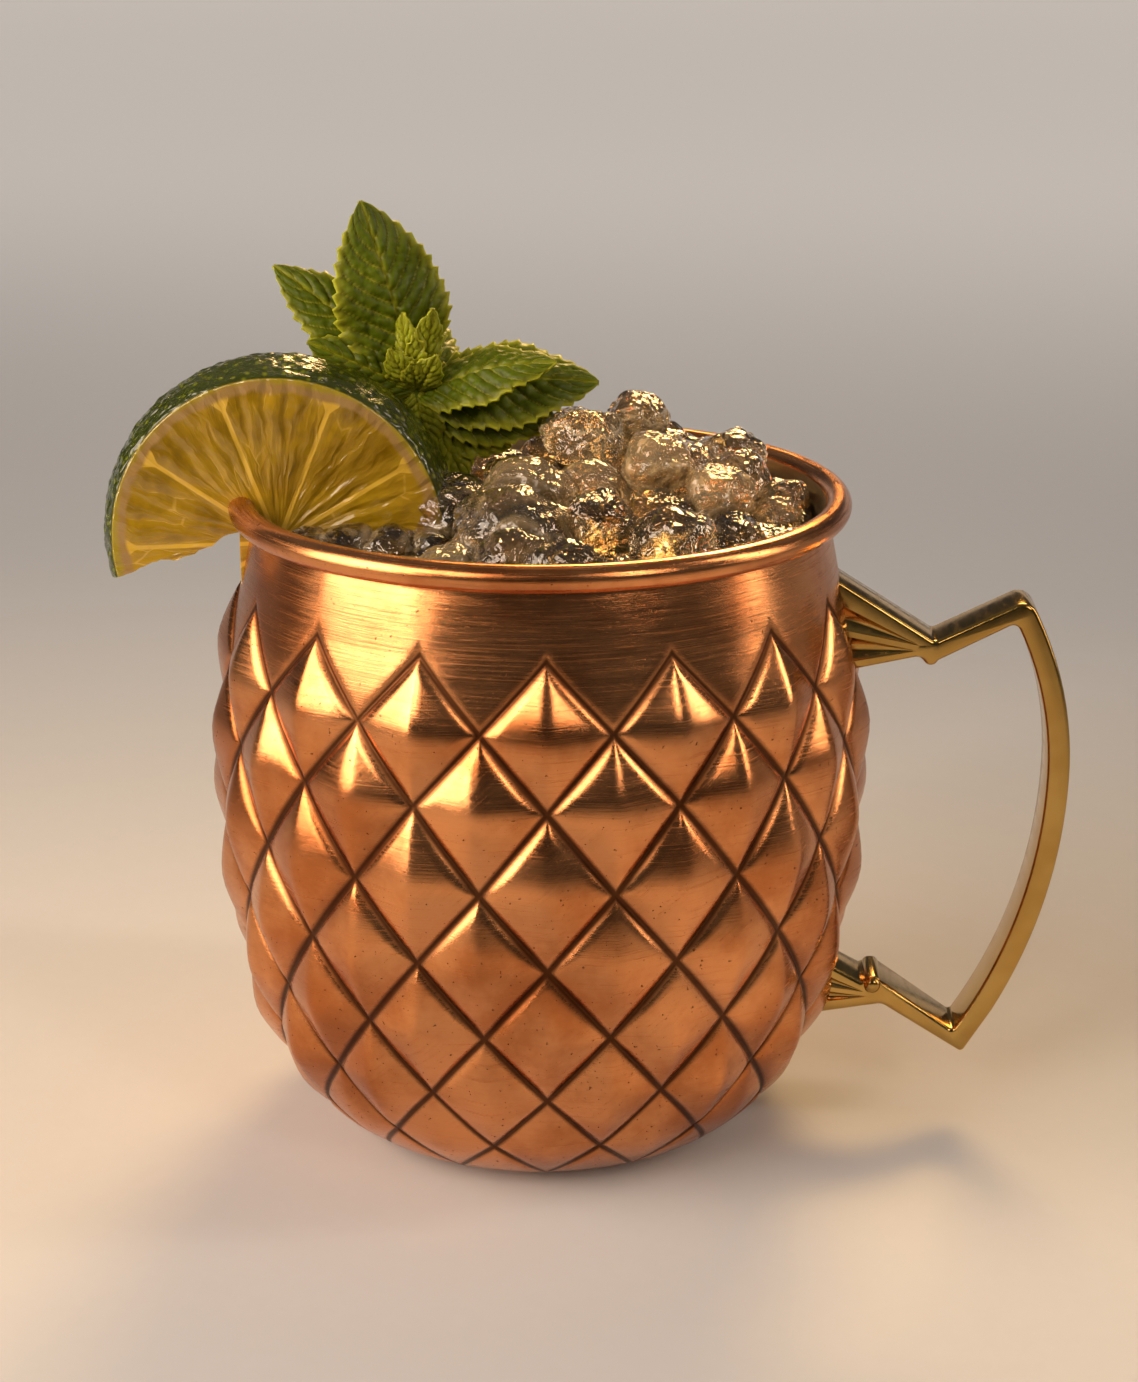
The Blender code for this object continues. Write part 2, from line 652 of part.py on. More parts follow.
def make_ice(collection, cutters, pockets, material):
    """The ice heap: a low dome with nuggets fused on, kept inside the rim and off the drink."""
    bm = bmesh.new()
    bmesh.ops.create_uvsphere(bm, u_segments=20, v_segments=10, radius=1.0)
    size = Matrix.Diagonal((*ICE_SPREAD, ICE_RISE, 1.0))
    place = Matrix.Translation((*ICE_MIDDLE, DRINK_LEVEL))
    bmesh.ops.transform(bm, matrix=place @ size, verts=bm.verts)
    ice = add_object("ice_heap", mesh_from(bm, "ice_heap"), collection, material)
    nuggets = [add_nugget(spot, width, 100 + i, collection)
               for i, (spot, width) in enumerate(nugget_places())]
    union_all(ice, nuggets)
    side = RIM_RADIUS - RIM_BEAD - 2 * GAP
    low = DRINK_LEVEL + GAP
    section = [(0.0, ICE_CEILING), (side, ICE_CEILING), (side, RIM_HEIGHT)]
    section += [(wall_section(INNER_TOP, -WALL - GAP)[0], low), (0.0, low)]
    inside = hide_cutter(turned("mug_mouth", section, cutters, None, 48))
    boolean(ice, inside, "INTERSECT")
    for pocket in pockets:
        boolean(ice, pocket)
    bake(ice)
    keep_largest(ice, 0.00008)
    return ice


def leaf_point(along, across, foot, tip, facing, half_width, fold, droop):
    """A point of a leaf: along runs from foot to tip, across from one edge to the other."""
    axis = tip - foot
    normal = (facing - axis * facing.dot(axis) / axis.length_squared).normalized()
    side = axis.cross(normal).normalized()
    swell = sin(pi * along ** 0.82) ** 0.8 if 0 < along < 1 else 0.0
    width = max(half_width * swell, 0.0003)
    reach = width * across
    arch = droop * sin(pi * along)
    ripple = 0.06 * width * abs(across) * sin(along * 17 + 2 * across)
    lift = arch - fold * abs(reach) * (1 - 0.35 * abs(across)) + ripple
    return foot + axis * along + side * reach + normal * lift


def add_leaf(row, collection):
    """One leaf as a thin wavy solid whose two faces are split alike."""
    foot, tip = Vector(row[0]) / 1000, Vector(row[1]) / 1000
    facing = Vector(row[2]).normalized()
    rows = LEAF_ROWS if (tip - foot).length > 0.015 else LEAF_ROWS // 2
    bm = bmesh.new()
    bmesh.ops.create_grid(bm, x_segments=LEAF_COLUMNS, y_segments=rows, size=1.0)
    for vert in bm.verts:
        along, across = (vert.co.y + 1) / 2, vert.co.x
        vert.co = leaf_point(along, across, foot, tip, facing, row[3] / 1000, row[4], row[5] / 1000)
    bmesh.ops.triangulate(bm, faces=bm.faces)
    leaf = add_object("leaf", mesh_from(bm, "leaf"), collection)
    solid = leaf.modifiers.new("thickness", "SOLIDIFY")
    solid.thickness = LEAF_THICKNESS
    solid.offset = 0.0
    bake(leaf)
    return leaf


def make_mint(collection, material):
    """The mint sprig: leaves fused to one stem."""
    curve = bpy.data.curves.new("stem", "CURVE")
    curve.dimensions = "3D"
    curve.bevel_depth = STEM_RADIUS
    curve.bevel_resolution = 1
    curve.use_fill_caps = True
    spline = curve.splines.new("POLY")
    spline.points.add(1)
    spline.points[0].co = (*STEM_FOOT, 1.0)
    spline.points[1].co = (*STEM_TOP, 1.0)
    drawn = bpy.data.objects.new("stem_line", curve)
    collection.objects.link(drawn)
    graph = bpy.context.evaluated_depsgraph_get()
    graph.update()
    mesh = bpy.data.meshes.new_from_object(drawn.evaluated_get(graph))
    bpy.data.objects.remove(drawn)
    bm = bmesh.new()
    bm.from_mesh(mesh)
    bmesh.ops.remove_doubles(bm, verts=bm.verts, dist=0.00001)
    bmesh.ops.recalc_face_normals(bm, faces=bm.faces)
    bm.to_mesh(mesh)
    bm.free()
    mint = add_object("mint_sprig", mesh, collection, material)
    union_all(mint, [add_leaf(row, collection) for row in LEAVES])
    keep_largest(mint)
    return mint


def main():
    """Build every piece of the drink in its mug."""
    for old in list(bpy.data.objects):
        bpy.data.objects.remove(old, do_unlink=True)
    pieces = make_collection("moscow_mule")
    cutters = make_collection("cutters")
    copper = make_material("brushed_copper", "#B5653A", 0.28, 1.0)
    brass = make_material("polished_brass", "#C9A24B", 0.18, 1.0)
    ginger = make_material("ginger_drink", "#A88A4A", 0.05, alpha=0.6)
    clear_ice = make_material("clear_ice", "#E8EAE6", 0.08, alpha=0.6)
    rind = make_material("lime_rind", "#4F7A1E", 0.35)
    leaf = make_material("mint_leaf", "#3E7A22", 0.5)
    make_mug(pieces, copper)
    make_handle(pieces, make_mug_envelope(cutters), brass)
    pockets = [make_pocket(cutters), make_stem_pocket(cutters)]
    make_lime(pieces, cutters, rind)
    make_drink(pieces, pockets, ginger)
    make_ice(pieces, cutters, pockets, clear_ice)
    make_mint(pieces, leaf)


main()
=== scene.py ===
"""A moscow mule in its dimpled copper mug, with crushed ice, a lime slice and a mint sprig.

Laid out as an add-on and run as a script. Lengths are metres unless a name says millimetres,
+Z is up, and the origin is the middle of the mug's flat base.
"""
import random
from math import atan2, cos, hypot, pi, radians, sin, sqrt, tan

import bpy
import numpy as np
from mathutils import Matrix, Vector, noise


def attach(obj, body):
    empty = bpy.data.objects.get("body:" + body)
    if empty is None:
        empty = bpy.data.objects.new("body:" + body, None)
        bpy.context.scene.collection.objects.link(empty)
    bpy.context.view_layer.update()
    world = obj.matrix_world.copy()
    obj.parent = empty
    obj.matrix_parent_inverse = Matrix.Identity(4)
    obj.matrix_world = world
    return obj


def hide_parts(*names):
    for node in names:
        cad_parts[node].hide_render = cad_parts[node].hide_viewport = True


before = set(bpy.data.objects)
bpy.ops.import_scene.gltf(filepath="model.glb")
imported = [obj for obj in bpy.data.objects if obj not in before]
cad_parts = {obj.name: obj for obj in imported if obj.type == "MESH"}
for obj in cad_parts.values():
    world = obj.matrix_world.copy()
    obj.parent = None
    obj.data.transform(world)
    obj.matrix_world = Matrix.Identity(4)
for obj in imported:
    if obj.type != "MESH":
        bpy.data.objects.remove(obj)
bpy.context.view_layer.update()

bl_info = {
    "name": "Moscow mule",
    "version": (1, 0, 0),
    "blender": (4, 5, 0),
    "location": "View3D > Sidebar > Mule",
    "description": "Adds a copper mug of iced ginger drink with lime and mint",
    "category": "Add Mesh",
}

MM = 0.001

# Mug wall, repeated from the frame's own design
BELLY_RADIUS = 0.0452
BELLY_HEIGHT = 0.0535
BELLY_SWEEP = 0.125
FOOT_SWEEP = 0.021
FOOT_RADIUS = BELLY_RADIUS - BELLY_SWEEP + sqrt(
    (BELLY_SWEEP - FOOT_SWEEP) ** 2 - (BELLY_HEIGHT - FOOT_SWEEP) ** 2)
ARC_JOIN = BELLY_HEIGHT - (BELLY_HEIGHT - FOOT_SWEEP) * BELLY_SWEEP / (BELLY_SWEEP - FOOT_SWEEP)
WALL = 0.0010
BAND_RISE = 0.0008
NECK_HEIGHT = 0.0904
INNER_TOP = 0.0890
RIM_RADIUS = 0.04175
RIM_HEIGHT = 0.0927
RIM_BEAD = 0.00187
RIM_START = radians(-136)

# Diamond lattice
DIAMONDS_ROUND = 16
FIRST_GROOVE = radians(4.93)
ROW_HEIGHTS = (0.0817, 0.0723, 0.0622, 0.0508, 0.0400, 0.0293, 0.0192, 0.0104, 0.0036)
LAST_ROW = len(ROW_HEIGHTS) - 1
SHOULDER_RISE = 0.00045
LAST_APEX_RISE = 0.0009
# Distances from a groove to a diamond's middle, in millimetres, where its mesh has its lines
TILE_LINES_MM = (0.0, 0.24, 0.48, 0.80, 1.25, 1.85, 2.65, 3.6, 4.65, 5.75, 6.83)

# Handle outline in the XZ plane
HANDLE_WIDTH = 0.0080
BOW_REACH = 0.0757
BOW_HEIGHT = 0.0540
BOW_THICKNESS = 0.0032
BOW_SWEEP_UP = 0.052
BOW_SWEEP_DOWN = 0.080
UPPER_CORNER_HEIGHT = 0.0801
LOWER_TIP = (0.0625, 0.0100)
UPPER_ROOT = (0.0829, 0.0685)
UPPER_ROOT_REACH = 0.0410
UPPER_VALLEY = (0.0558, 0.0736)
LOWER_ROOT = (0.0150, 0.0272)
LOWER_ROOT_REACH = 0.0360
LOWER_VALLEY = (0.0504, 0.0176)
INNER_CORNERS = (0.0136, 0.0765)
LOWER_HEEL = (0.0472, 0.0211)
UPPER_HEEL = (0.0537, 0.0714)
LOWER_KNUCKLE = (0.0491, 0.0209)
UPPER_KNUCKLE = (0.0553, 0.0712)
KNUCKLE_RADIUS = 0.0011
UPPER_CORNER_RADIUS = 0.0022

# Drink and ice
DRINK_LEVEL = 0.0886
ICE_MIDDLE = (0.013, 0.002)
ICE_SPREAD = (0.026, 0.036)
ICE_RISE = 0.0040
# How far out nuggets and bubbles lie, and how far out the wall lets ice reach
ICE_REACH = 0.0385
NUGGET_REACH = 0.0386
BED_REACH = 0.0388
CRUMBS = 70
BUBBLES = 90
NUGGET_SPACING = 0.41
NUGGET_DOME = 0.0065
LEAF_CLEARANCE = 0.0068
# Nuggets that show: x, y, z and width, all in millimetres
NUGGETS = ((-2.4, -16.0, 92.0, 15), (-1.3, -9.4, 95.5, 12), (5.8, 9.1, 99.3, 11),
           (13.0, 22.5, 99.5, 9.5), (16.4, -1.9, 98.0, 10.5), (25.1, -6.5, 94.8, 10.5),
           (26.2, 14.8, 95.5, 10), (33.2, -1.5, 91.0, 7.5), (34.3, 6.8, 91.5, 7),
           (7.3, -3.2, 94.5, 10.5), (17.1, -10.9, 91.8, 12), (26.6, -14.0, 90.5, 9))
HIDDEN_NUGGETS = 17
# Half-sunk lumps in front of the lime, which the frame's solids leave out
SUNK_NUGGETS = ((-31.5, -11.6, 87.1, 9.0), (-25.6, -11.4, 87.3, 9.5), (-19.6, -12.0, 87.4, 9.0),
                (-14.2, -12.6, 87.6, 8.0), (-10.0, -23.0, 88.0, 8.5), (-16.5, -21.0, 86.6, 8.0))
# Nuggets by number that are cloudy all through
CLOUDY_NUGGETS = (1, 4, 5, 7, 9)

# Lime slice
LIME_TURN = radians(4)
LIME_RADIUS = 0.0232
LIME_BULGE = 0.0017
LIME_THICKNESS = 0.0140
LIME_MIDDLE = (-0.0364, 0.0005, 0.0880)
LIME_CUT_TOP = (-0.0432, 0.0892)
LIME_CUT_LOW = (-0.0587, 0.0831)
LIME_STEP = -0.0417
CUT_REACH = -0.075
CUT_FLOOR = 0.050
PITH_INNER = 0.02106
MEMBRANE_ANGLES = (146, 110, 68, 31, -8, -44, -80, -116, -148, -178)

# Mint sprig
STEM_FOOT = (-0.0188, 0.0099, 0.0775)
STEM_TOP = (-0.0184, 0.0098, 0.1085)
STEM_RADIUS = 0.0011
LEAF_THICKNESS = 0.0004
# Leaves: foot, tip, facing direction, half width, fold and droop, lengths in millimetres
LEAVES = (
    ((-18.4, 9.8, 106.5), (-25.7, 9.2, 132.6), (0.35, -1.0, 0.25), 8.2, 0.30, 1.5),
    ((-18.6, 10.8, 106.5), (-39.0, 13.5, 122.8), (0.15, -0.85, 0.55), 5.6, 0.25, 2.0),
    ((-18.6, 8.8, 106.0), (-33.4, 6.6, 113.2), (-0.25, -0.88, 0.42), 4.0, 0.25, 1.0),
    ((-18.6, 8.9, 107.0), (-19.8, 6.4, 117.4), (-0.55, -0.9, 0.20), 2.8, 0.40, 0.6),
    ((-18.1, 8.9, 107.0), (-15.4, 6.4, 118.0), (0.60, -0.9, 0.15), 2.8, 0.40, 0.6),
    ((-18.0, 9.2, 105.0), (1.9, 6.0, 110.8), (0.05, -0.55, 0.85), 5.6, 0.30, 2.0),
    ((-18.0, 10.4, 104.5), (7.5, 14.0, 106.4), (0.10, -0.75, 0.65), 7.0, 0.25, 3.0),
    ((-18.4, 10.9, 105.5), (-20.5, 30.0, 113.0), (0.05, -0.35, 0.95), 6.0, 0.25, 2.0),
    ((-17.6, 10.9, 104.2), (-5.0, 11.6, 97.2), (0.30, -0.95, 0.20), 5.4, 0.20, 0.8),
    ((-17.9, 10.3, 104.6), (-11.6, 9.9, 92.4), (0.30, -0.95, 0.20), 5.4, 0.20, 0.6),
)
# The last leaves hang down among the ice
LOW_LEAVES = 2
# The bud's leaves are young and pale; the low ones hang in shade and get the same paler colour as
# painted light
YOUNG_AND_LIT_LEAVES = (3, 4, 8, 9, 10, 11, 12, 13)
# Small leaves of the bud and behind the lime, which the frame's solids leave out
BUD_LEAVES = (
    ((-18.3, 8.8, 106.0), (-21.6, 5.2, 112.4), (-0.30, -0.8, 0.50), 2.5, 0.40, 0.9),
    ((-18.3, 8.8, 106.0), (-14.9, 5.0, 111.6), (0.40, -0.8, 0.50), 2.4, 0.40, 0.9),
    ((-18.3, 9.0, 106.2), (-18.4, 4.6, 110.6), (0.05, -0.9, 0.45), 2.0, 0.40, 0.7),
    ((-18.4, 8.9, 105.6), (-16.6, 8.6, 96.4), (0.10, -0.95, 0.10), 3.3, 0.25, 0.6),
    ((-18.6, 9.6, 105.8), (-27.5, 10.4, 103.6), (-0.10, -0.90, 0.35), 3.8, 0.25, 0.8),
    ((-17.8, 10.4, 104.0), (2.0, 12.2, 100.8), (0.15, -0.90, 0.40), 5.2, 0.20, 1.4),
)

# Camera, from the photograph's own perspective
CAMERA_PLACE = (0.02437, -0.34845, 0.18071)
CAMERA_PITCH = radians(71.52)
CAMERA_TURN = radians(3.34)
CAMERA_LENS = 66.51
SENSOR_WIDTH = 36

# Stage
FLOOR_SIZE = 12
MUG_MIDDLE = (0.0, 0.0, 0.055)
HEAP_TOP = (0.0, 0.0, 0.095)
WARM = "#FFEAD4"
# Soft panels: name, place, target, width, height, power in watts, colour and spread in degrees
PANELS = (
    ("key_panel", (-0.56, -0.24, 0.32), MUG_MIDDLE, 0.44, 0.56, 1.8, WARM, 100),
    ("strip_panel", (-0.52, -0.52, 0.34), MUG_MIDDLE, 0.05, 0.56, 0.4, WARM, 80),
    ("facet_panel", (-0.42, -0.80, 0.62), MUG_MIDDLE, 0.26, 0.40, 0.4, WARM, 70),
    ("fill_panel", (0.48, -0.60, 0.50), MUG_MIDDLE, 0.10, 0.36, 0.2, WARM, 70),
    ("edge_panel", (0.62, -0.02, 0.34), MUG_MIDDLE, 0.08, 0.60, 0.35, WARM, 70),
    ("glint_panel", (0.10, 0.60, 0.56), HEAP_TOP, 0.38, 0.16, 0.34, "#FFD088", 34),
    ("horizon_panel", (0.0, 3.5, 0.42), (0.0, 0.0, 0.1), 5.0, 0.5, 4.0, WARM, 180),
    ("far_panel", (0.0, 1.9, 1.6), (0.0, 1.9, 0.0), 5.0, 2.8, 36.0, "#FFF2E4", 50),
    ("sky_panel", (0.0, 1.5, 2.8), (0.0, 1.5, 0.0), 7.0, 7.0, 14.0, "#FFF6EA", 180),
)
BACKDROP = "#E8EAEE"
BACKDROP_STRENGTH = 0.06


def linear(code):
    """Turn an sRGB hex colour into linear values."""
    parts = [int(code[i:i + 2], 16) / 255 for i in (1, 3, 5)]
    return tuple(c / 12.92 if c <= 0.04045 else ((c + 0.055) / 1.055) ** 2.4 for c in parts)


def size_property(name, description, default):
    """A length that the user can change."""
    return bpy.props.FloatProperty(name=name, description=description, default=default, min=0.0,
                                   max=1.0, precision=5, unit="LENGTH", subtype="DISTANCE")


def colour_property(name, description, code):
    """A colour that the user can change."""
    return bpy.props.FloatVectorProperty(name=name, description=description, size=3, min=0.0,
                                         max=1.0, default=linear(code), subtype="COLOR")


class MuleSizes(bpy.types.PropertyGroup):
    """Sizes of the finer relief that the frame's solids leave out."""

    apex_rise: size_property("Diamond rise", "How far a diamond's middle stands out", 0.0024)
    shoulder: size_property("Shoulder", "How far a diamond's edge stands over its groove", 0.00016)
    groove_width: size_property("Groove", "Half width of the grooves between diamonds", 0.0014)
    band_edge: size_property("Band edge", "How far the plain band's foot stands out", 0.00026)
    dent: size_property("Dents", "Depth of the soft dents in the copper", 0.00007)
    strap_edge: size_property("Strap edge", "Radius of the handle's edges", 0.0009)
    web_depth: size_property("Web depth", "How deep the handle's webs are recessed", 0.0011)
    nugget_lump: bpy.props.FloatProperty(
        name="Nugget lumps", description="Share of a nugget's size that its lumps take",
        default=0.30, min=0.0, max=0.6, subtype="FACTOR")
    juice_relief: size_property("Flesh relief", "Height of the lime's juice sacs", 0.00013)
    rind_relief: size_property("Rind relief", "Depth of the lime rind's dimples", 0.00032)
    leaf_quilt: size_property("Leaf quilting", "Height of a leaf between its veins", 0.00095)
    leaf_tooth: size_property("Leaf teeth", "Length of the teeth at a leaf's edge", 0.0008)
    ripple: size_property("Ripple", "Height of the drink's ripples", 0.00018)


class MuleColours(bpy.types.PropertyGroup):
    """Colours of every finish."""

    copper: colour_property("Copper", "Brushed copper", "#DE9660")
    copper_deep: colour_property("Aged copper", "Copper where it has aged", "#A4592A")
    patina: colour_property("Patina", "Dark oxide in the grooves", "#2A0F05")
    tin: colour_property("Lining", "Tinned inner wall", "#B5A68E")
    brass: colour_property("Brass", "Polished brass", "#BC9A58")
    drink: colour_property("Drink", "Ginger drink over dark depth", "#4E3E14")
    ice: colour_property("Ice", "Clear ice", "#F7DDAC")
    frost: colour_property("Frost", "Cloudy ice", "#EFCB90")
    # Also painted shade: the seams between nuggets and the bed under them take this colour
    slush_and_shade: colour_property("Slush", "Ice soaked with the drink", "#3E2A0A")
    rind: colour_property("Rind", "Lime rind", "#303802")
    rind_light: colour_property("Rind light", "Paler rind by the oil glands", "#6C7208")
    pith: colour_property("Pith", "Lime pith", "#967742")
    flesh: colour_property("Flesh", "Lime flesh", "#9C7C0A")
    flesh_deep: colour_property("Deep flesh", "Lime flesh between the sacs", "#725602")
    leaf: colour_property("Leaf", "Mint leaf", "#485406")
    # Painted shade in the leaves' hollows between the veins, and the darker specks of the blade's
    # cells
    leaf_shade_and_specks: colour_property("Deep leaf", "Mint leaf by the veins' hollows", "#161E01")
    # Also painted rim light on the leaves' edges
    vein: colour_property("Vein", "Mint veins and edges", "#C4C430")
    floor: colour_property("Floor", "Pale paper floor", "#C6C6C8")


# Shared tools for meshes

def deselect():
    """Leave nothing selected."""
    bpy.ops.object.select_all(action="DESELECT")


def primitive(name, operator, **settings):
    """Add a primitive by its operator and name it."""
    deselect()
    operator(**settings)
    piece = bpy.context.active_object
    piece.name = name
    piece.data.name = name
    return piece


def pick(piece):
    """Make one object the only selected and active one."""
    deselect()
    piece.select_set(True)
    bpy.context.view_layer.objects.active = piece


def edit(piece, *steps):
    """Run edit-mode steps, each an operator with its settings, on the whole of a mesh."""
    pick(piece)
    bpy.ops.object.mode_set(mode="EDIT")
    bpy.ops.mesh.select_all(action="SELECT")
    for operator, settings in steps:
        operator(**settings)
    bpy.ops.object.mode_set(mode="OBJECT")


def read_points(piece):
    """A mesh's vertices as an array."""
    points = np.empty(len(piece.data.vertices) * 3)
    piece.data.vertices.foreach_get("co", points)
    return points.reshape(-1, 3)


def write_points(piece, points):
    """Put a mesh's vertices at an array's places."""
    piece.data.vertices.foreach_set("co", np.asarray(points, dtype=float).ravel())
    piece.data.update()


def write_attribute(piece, name, values):
    """Store one number for each vertex."""
    held = piece.data.attributes.get(name) or piece.data.attributes.new(name, "FLOAT", "POINT")
    held.data.foreach_set("value", np.asarray(values, dtype=np.float32).ravel())


def copy_of(piece, name):
    """A copy with its own mesh."""
    made = piece.copy()
    made.data = piece.data.copy()
    made.name = name
    bpy.context.scene.collection.objects.link(made)
    return made


def join(name, parts):
    """Join objects into one, named after the piece."""
    deselect()
    for part in parts:
        part.select_set(True)
    bpy.context.view_layer.objects.active = parts[0]
    bpy.ops.object.join()
    parts[0].name = name
    parts[0].data.name = name
    return parts[0]


def modify(piece, kind, **settings):
    """Add a modifier, set it and apply it."""
    pick(piece)
    modifier = piece.modifiers.new(kind.lower(), kind)
    for name, value in settings.items():
        setattr(modifier, name, value)
    bpy.ops.object.modifier_apply(modifier=modifier.name)


def carve(piece, cutter, operation="DIFFERENCE"):
    """Cut a piece with another object, which is then removed."""
    modify(piece, "BOOLEAN", operation=operation, solver="EXACT", object=cutter)
    bpy.data.objects.remove(cutter)


def close_up(piece, threshold=1e-6):
    """Merge doubles and turn every face outwards."""
    edit(piece, (bpy.ops.mesh.remove_doubles, {"threshold": threshold}),
         (bpy.ops.mesh.normals_make_consistent, {"inside": False}))


def finish_piece(piece, slot, *nodes, sharp=None):
    """Shade a piece smooth and tie it to the frame."""
    pick(piece)
    if sharp:
        bpy.ops.object.shade_smooth_by_angle(angle=sharp)
    else:
        bpy.ops.object.shade_smooth()
    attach(piece, "root")
    if nodes:
        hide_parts(*nodes)
    return piece


# Shared tools for materials

# Settings of the nodes that reckon with shares and lengths
SMOOTH = {"interpolation_type": "SMOOTHSTEP"}
ADD = {"operation": "ADD"}
LESS = {"operation": "SUBTRACT"}
TIMES = {"operation": "MULTIPLY"}
MOST = {"operation": "MAXIMUM"}


def fill(tree, made, inputs):
    """Give a node its inputs, in order or by socket; each is a value, a node or a socket."""
    for socket, value in inputs.items() if isinstance(inputs, dict) else enumerate(inputs):
        inlet = made.inputs[socket]
        if isinstance(value, bpy.types.Node):
            tree.links.new(value.outputs[0], inlet)
        elif isinstance(value, bpy.types.NodeSocket):
            tree.links.new(value, inlet)
        else:
            inlet.default_value = (*value, 1.0) if inlet.type == "RGBA" else value


def node(tree, kind, inputs=(), **settings):
    """Add a shader node with its settings and its inputs."""
    made = tree.nodes.new("ShaderNode" + kind)
    for name, value in settings.items():
        setattr(made, name, value)
    fill(tree, made, inputs)
    return made


def new_material(name, values):
    """A material with one Principled shader, its constants set, and the object's coordinates."""
    material = bpy.data.materials.new(name)
    material.use_nodes = True
    tree = material.node_tree
    shader = tree.nodes["Principled BSDF"]
    fill(tree, shader, values)
    return material, tree, shader, node(tree, "TexCoord").outputs["Object"]


def tinted(colour, *factors, lift=0.0):
    """A colour scaled by one factor, or by one for each channel, and then lifted."""
    if len(factors) == 1:
        factors *= 3
    return [min(1.0, c * factor + lift) for c, factor in zip(colour, factors)]


def coats(tree, colour, *layers):
    """Lay coats over a first colour in turn; each layer is its share and its colour."""
    for share, coat in layers:
        colour = node(tree, "Mix", {0: share, 6: colour, 7: coat}, data_type="RGBA").outputs[2]
    return colour


def grain(tree, source, scale, stretch=(1, 1, 1), detail=4.0, rough=0.55):
    """Grain of a finish; scale is cells for each metre, and stretch is by axis."""
    placed = node(tree, "Mapping", {"Vector": source, "Scale": stretch})
    return node(tree, "TexNoise", {"Vector": placed, "Scale": scale, "Detail": detail,
                                   "Roughness": rough})


# Copper mug

def wall_points(columns, heights, rises):
    """Places on the wall by half-diamond column, height of the groove level and rise."""
    columns, heights, rises = np.broadcast_arrays(columns, heights, rises)
    belly = heights > ARC_JOIN
    middle = np.where(belly, BELLY_RADIUS - BELLY_SWEEP, FOOT_RADIUS)
    level = np.where(belly, BELLY_HEIGHT, FOOT_SWEEP)
    sweep = np.where(belly, BELLY_SWEEP, FOOT_SWEEP)
    lift = (heights - level) / sweep
    out = np.sqrt(np.clip(1 - lift * lift, 0, 1))
    radius = middle + (sweep + rises) * out
    angle = FIRST_GROOVE + columns * pi / DIAMONDS_ROUND
    return np.stack((radius * np.sin(angle), -radius * np.cos(angle),
                     level + (sweep + rises) * lift), -1)


def wall_radius(height, rise=0.0):
    """The wall's radius and true height at one height of the groove level."""
    point = wall_points(0.0, height, rise)
    return hypot(point[0], point[1]), float(point[2])


def row_heights(rows):
    """Heights on the wall of places between the rows of groove crossings."""
    return np.interp(rows, range(LAST_ROW + 1), ROW_HEIGHTS)


def rounded(reach, softness):
    """The distance from a ridge, rounded over at the ridge itself."""
    return (np.sqrt(reach * reach + softness * softness) - softness) / (
        sqrt(1 + softness * softness) - softness)


def groove_mask(edge, width):
    """0 in a groove's middle and 1 past its width; edge is the distance as a diamond's share."""
    share = width / (TILE_LINES_MM[-1] * MM)
    return 1 - (1 - np.clip(edge / share, 0, 1)) ** 2


def dents(points, depth):
    """Shallow dents of hand-worked metal, about 8 mm across, with others of 3 mm."""
    wave = [noise.noise(Vector(p) * 130) + 0.5 * noise.noise(Vector(p) * 310) for p in points]
    return depth * np.array(wave)


def place_wall(piece, columns, heights, rises, mask, sizes):
    """Put a flat part of the wall on the mug, with its dents and its groove depths."""
    flat = wall_points(columns, heights, rises)
    uneven = rises + dents(flat, sizes.dent) * np.clip(mask, 0.2, 1)
    write_points(piece, wall_points(columns, heights, uneven))
    write_attribute(piece, "groove", 1 - mask)


def tile_lines():
    """The tile's lines from one side to the other, from 0 to 1, denser by the grooves."""
    half = np.array(TILE_LINES_MM) / TILE_LINES_MM[-1] / 2
    return np.concatenate((half, 1 - half[-2::-1]))


def make_tile():
    """A flat diamond, which all others are copied from; x runs across and y up it."""
    lines = tile_lines()
    steps = len(lines) - 1
    tile = primitive("tile", bpy.ops.mesh.primitive_grid_add, x_subdivisions=steps,
                     y_subdivisions=steps, size=2)
    points = read_points(tile)
    p = lines[np.rint((points[:, 0] + 1) / 2 * steps).astype(int)]
    q = lines[np.rint((points[:, 1] + 1) / 2 * steps).astype(int)]
    write_points(tile, np.stack((p - q, p + q - 1, 0 * p), -1))
    write_attribute(tile, "groove", 0 * p)
    return tile


def half_tile(tile, name, upper):
    """The tile's half above or below its middle line."""
    half = copy_of(tile, name)
    edit(half, (bpy.ops.mesh.bisect, {"plane_co": (0, 0, 0), "plane_no": (0, 1, 0),
                                      "clear_inner": upper, "clear_outer": not upper}))
    return half


def place_diamond(tile, column, row, sizes):
    """One raised diamond with soft ridges down and across it."""
    a, b = read_points(tile)[:, 0], -read_points(tile)[:, 1]
    apex = LAST_APEX_RISE if row == LAST_ROW - 1 else sizes.apex_rise
    mask = groove_mask(1 - np.abs(a) - np.abs(b), sizes.groove_width)
    crown = np.clip(1 - rounded(a, 0.03) - rounded(b, 0.28), 0, 1)
    rises = mask * (sizes.shoulder + (apex - sizes.shoulder) * crown)
    floor = SHOULDER_RISE * np.clip(row + b - (LAST_ROW - 1), 0, 1)
    made = copy_of(tile, "diamond")
    place_wall(made, column + a, row_heights(row + b), np.maximum(rises, floor), mask, sizes)
    return made


def place_gusset(half, column, row, rise, sizes):
    """The plain triangle of wall between two diamond tips."""
    a, b = read_points(half)[:, 0], -read_points(half)[:, 1]
    mask = groove_mask(1 - np.abs(a) - np.abs(b), sizes.groove_width)
    floor = SHOULDER_RISE * np.clip(row + b - (LAST_ROW - 1), 0, 1)
    made = copy_of(half, "gusset")
    place_wall(made, column + a, row_heights(row + b), np.maximum(rise * mask, floor), mask, sizes)
    return made


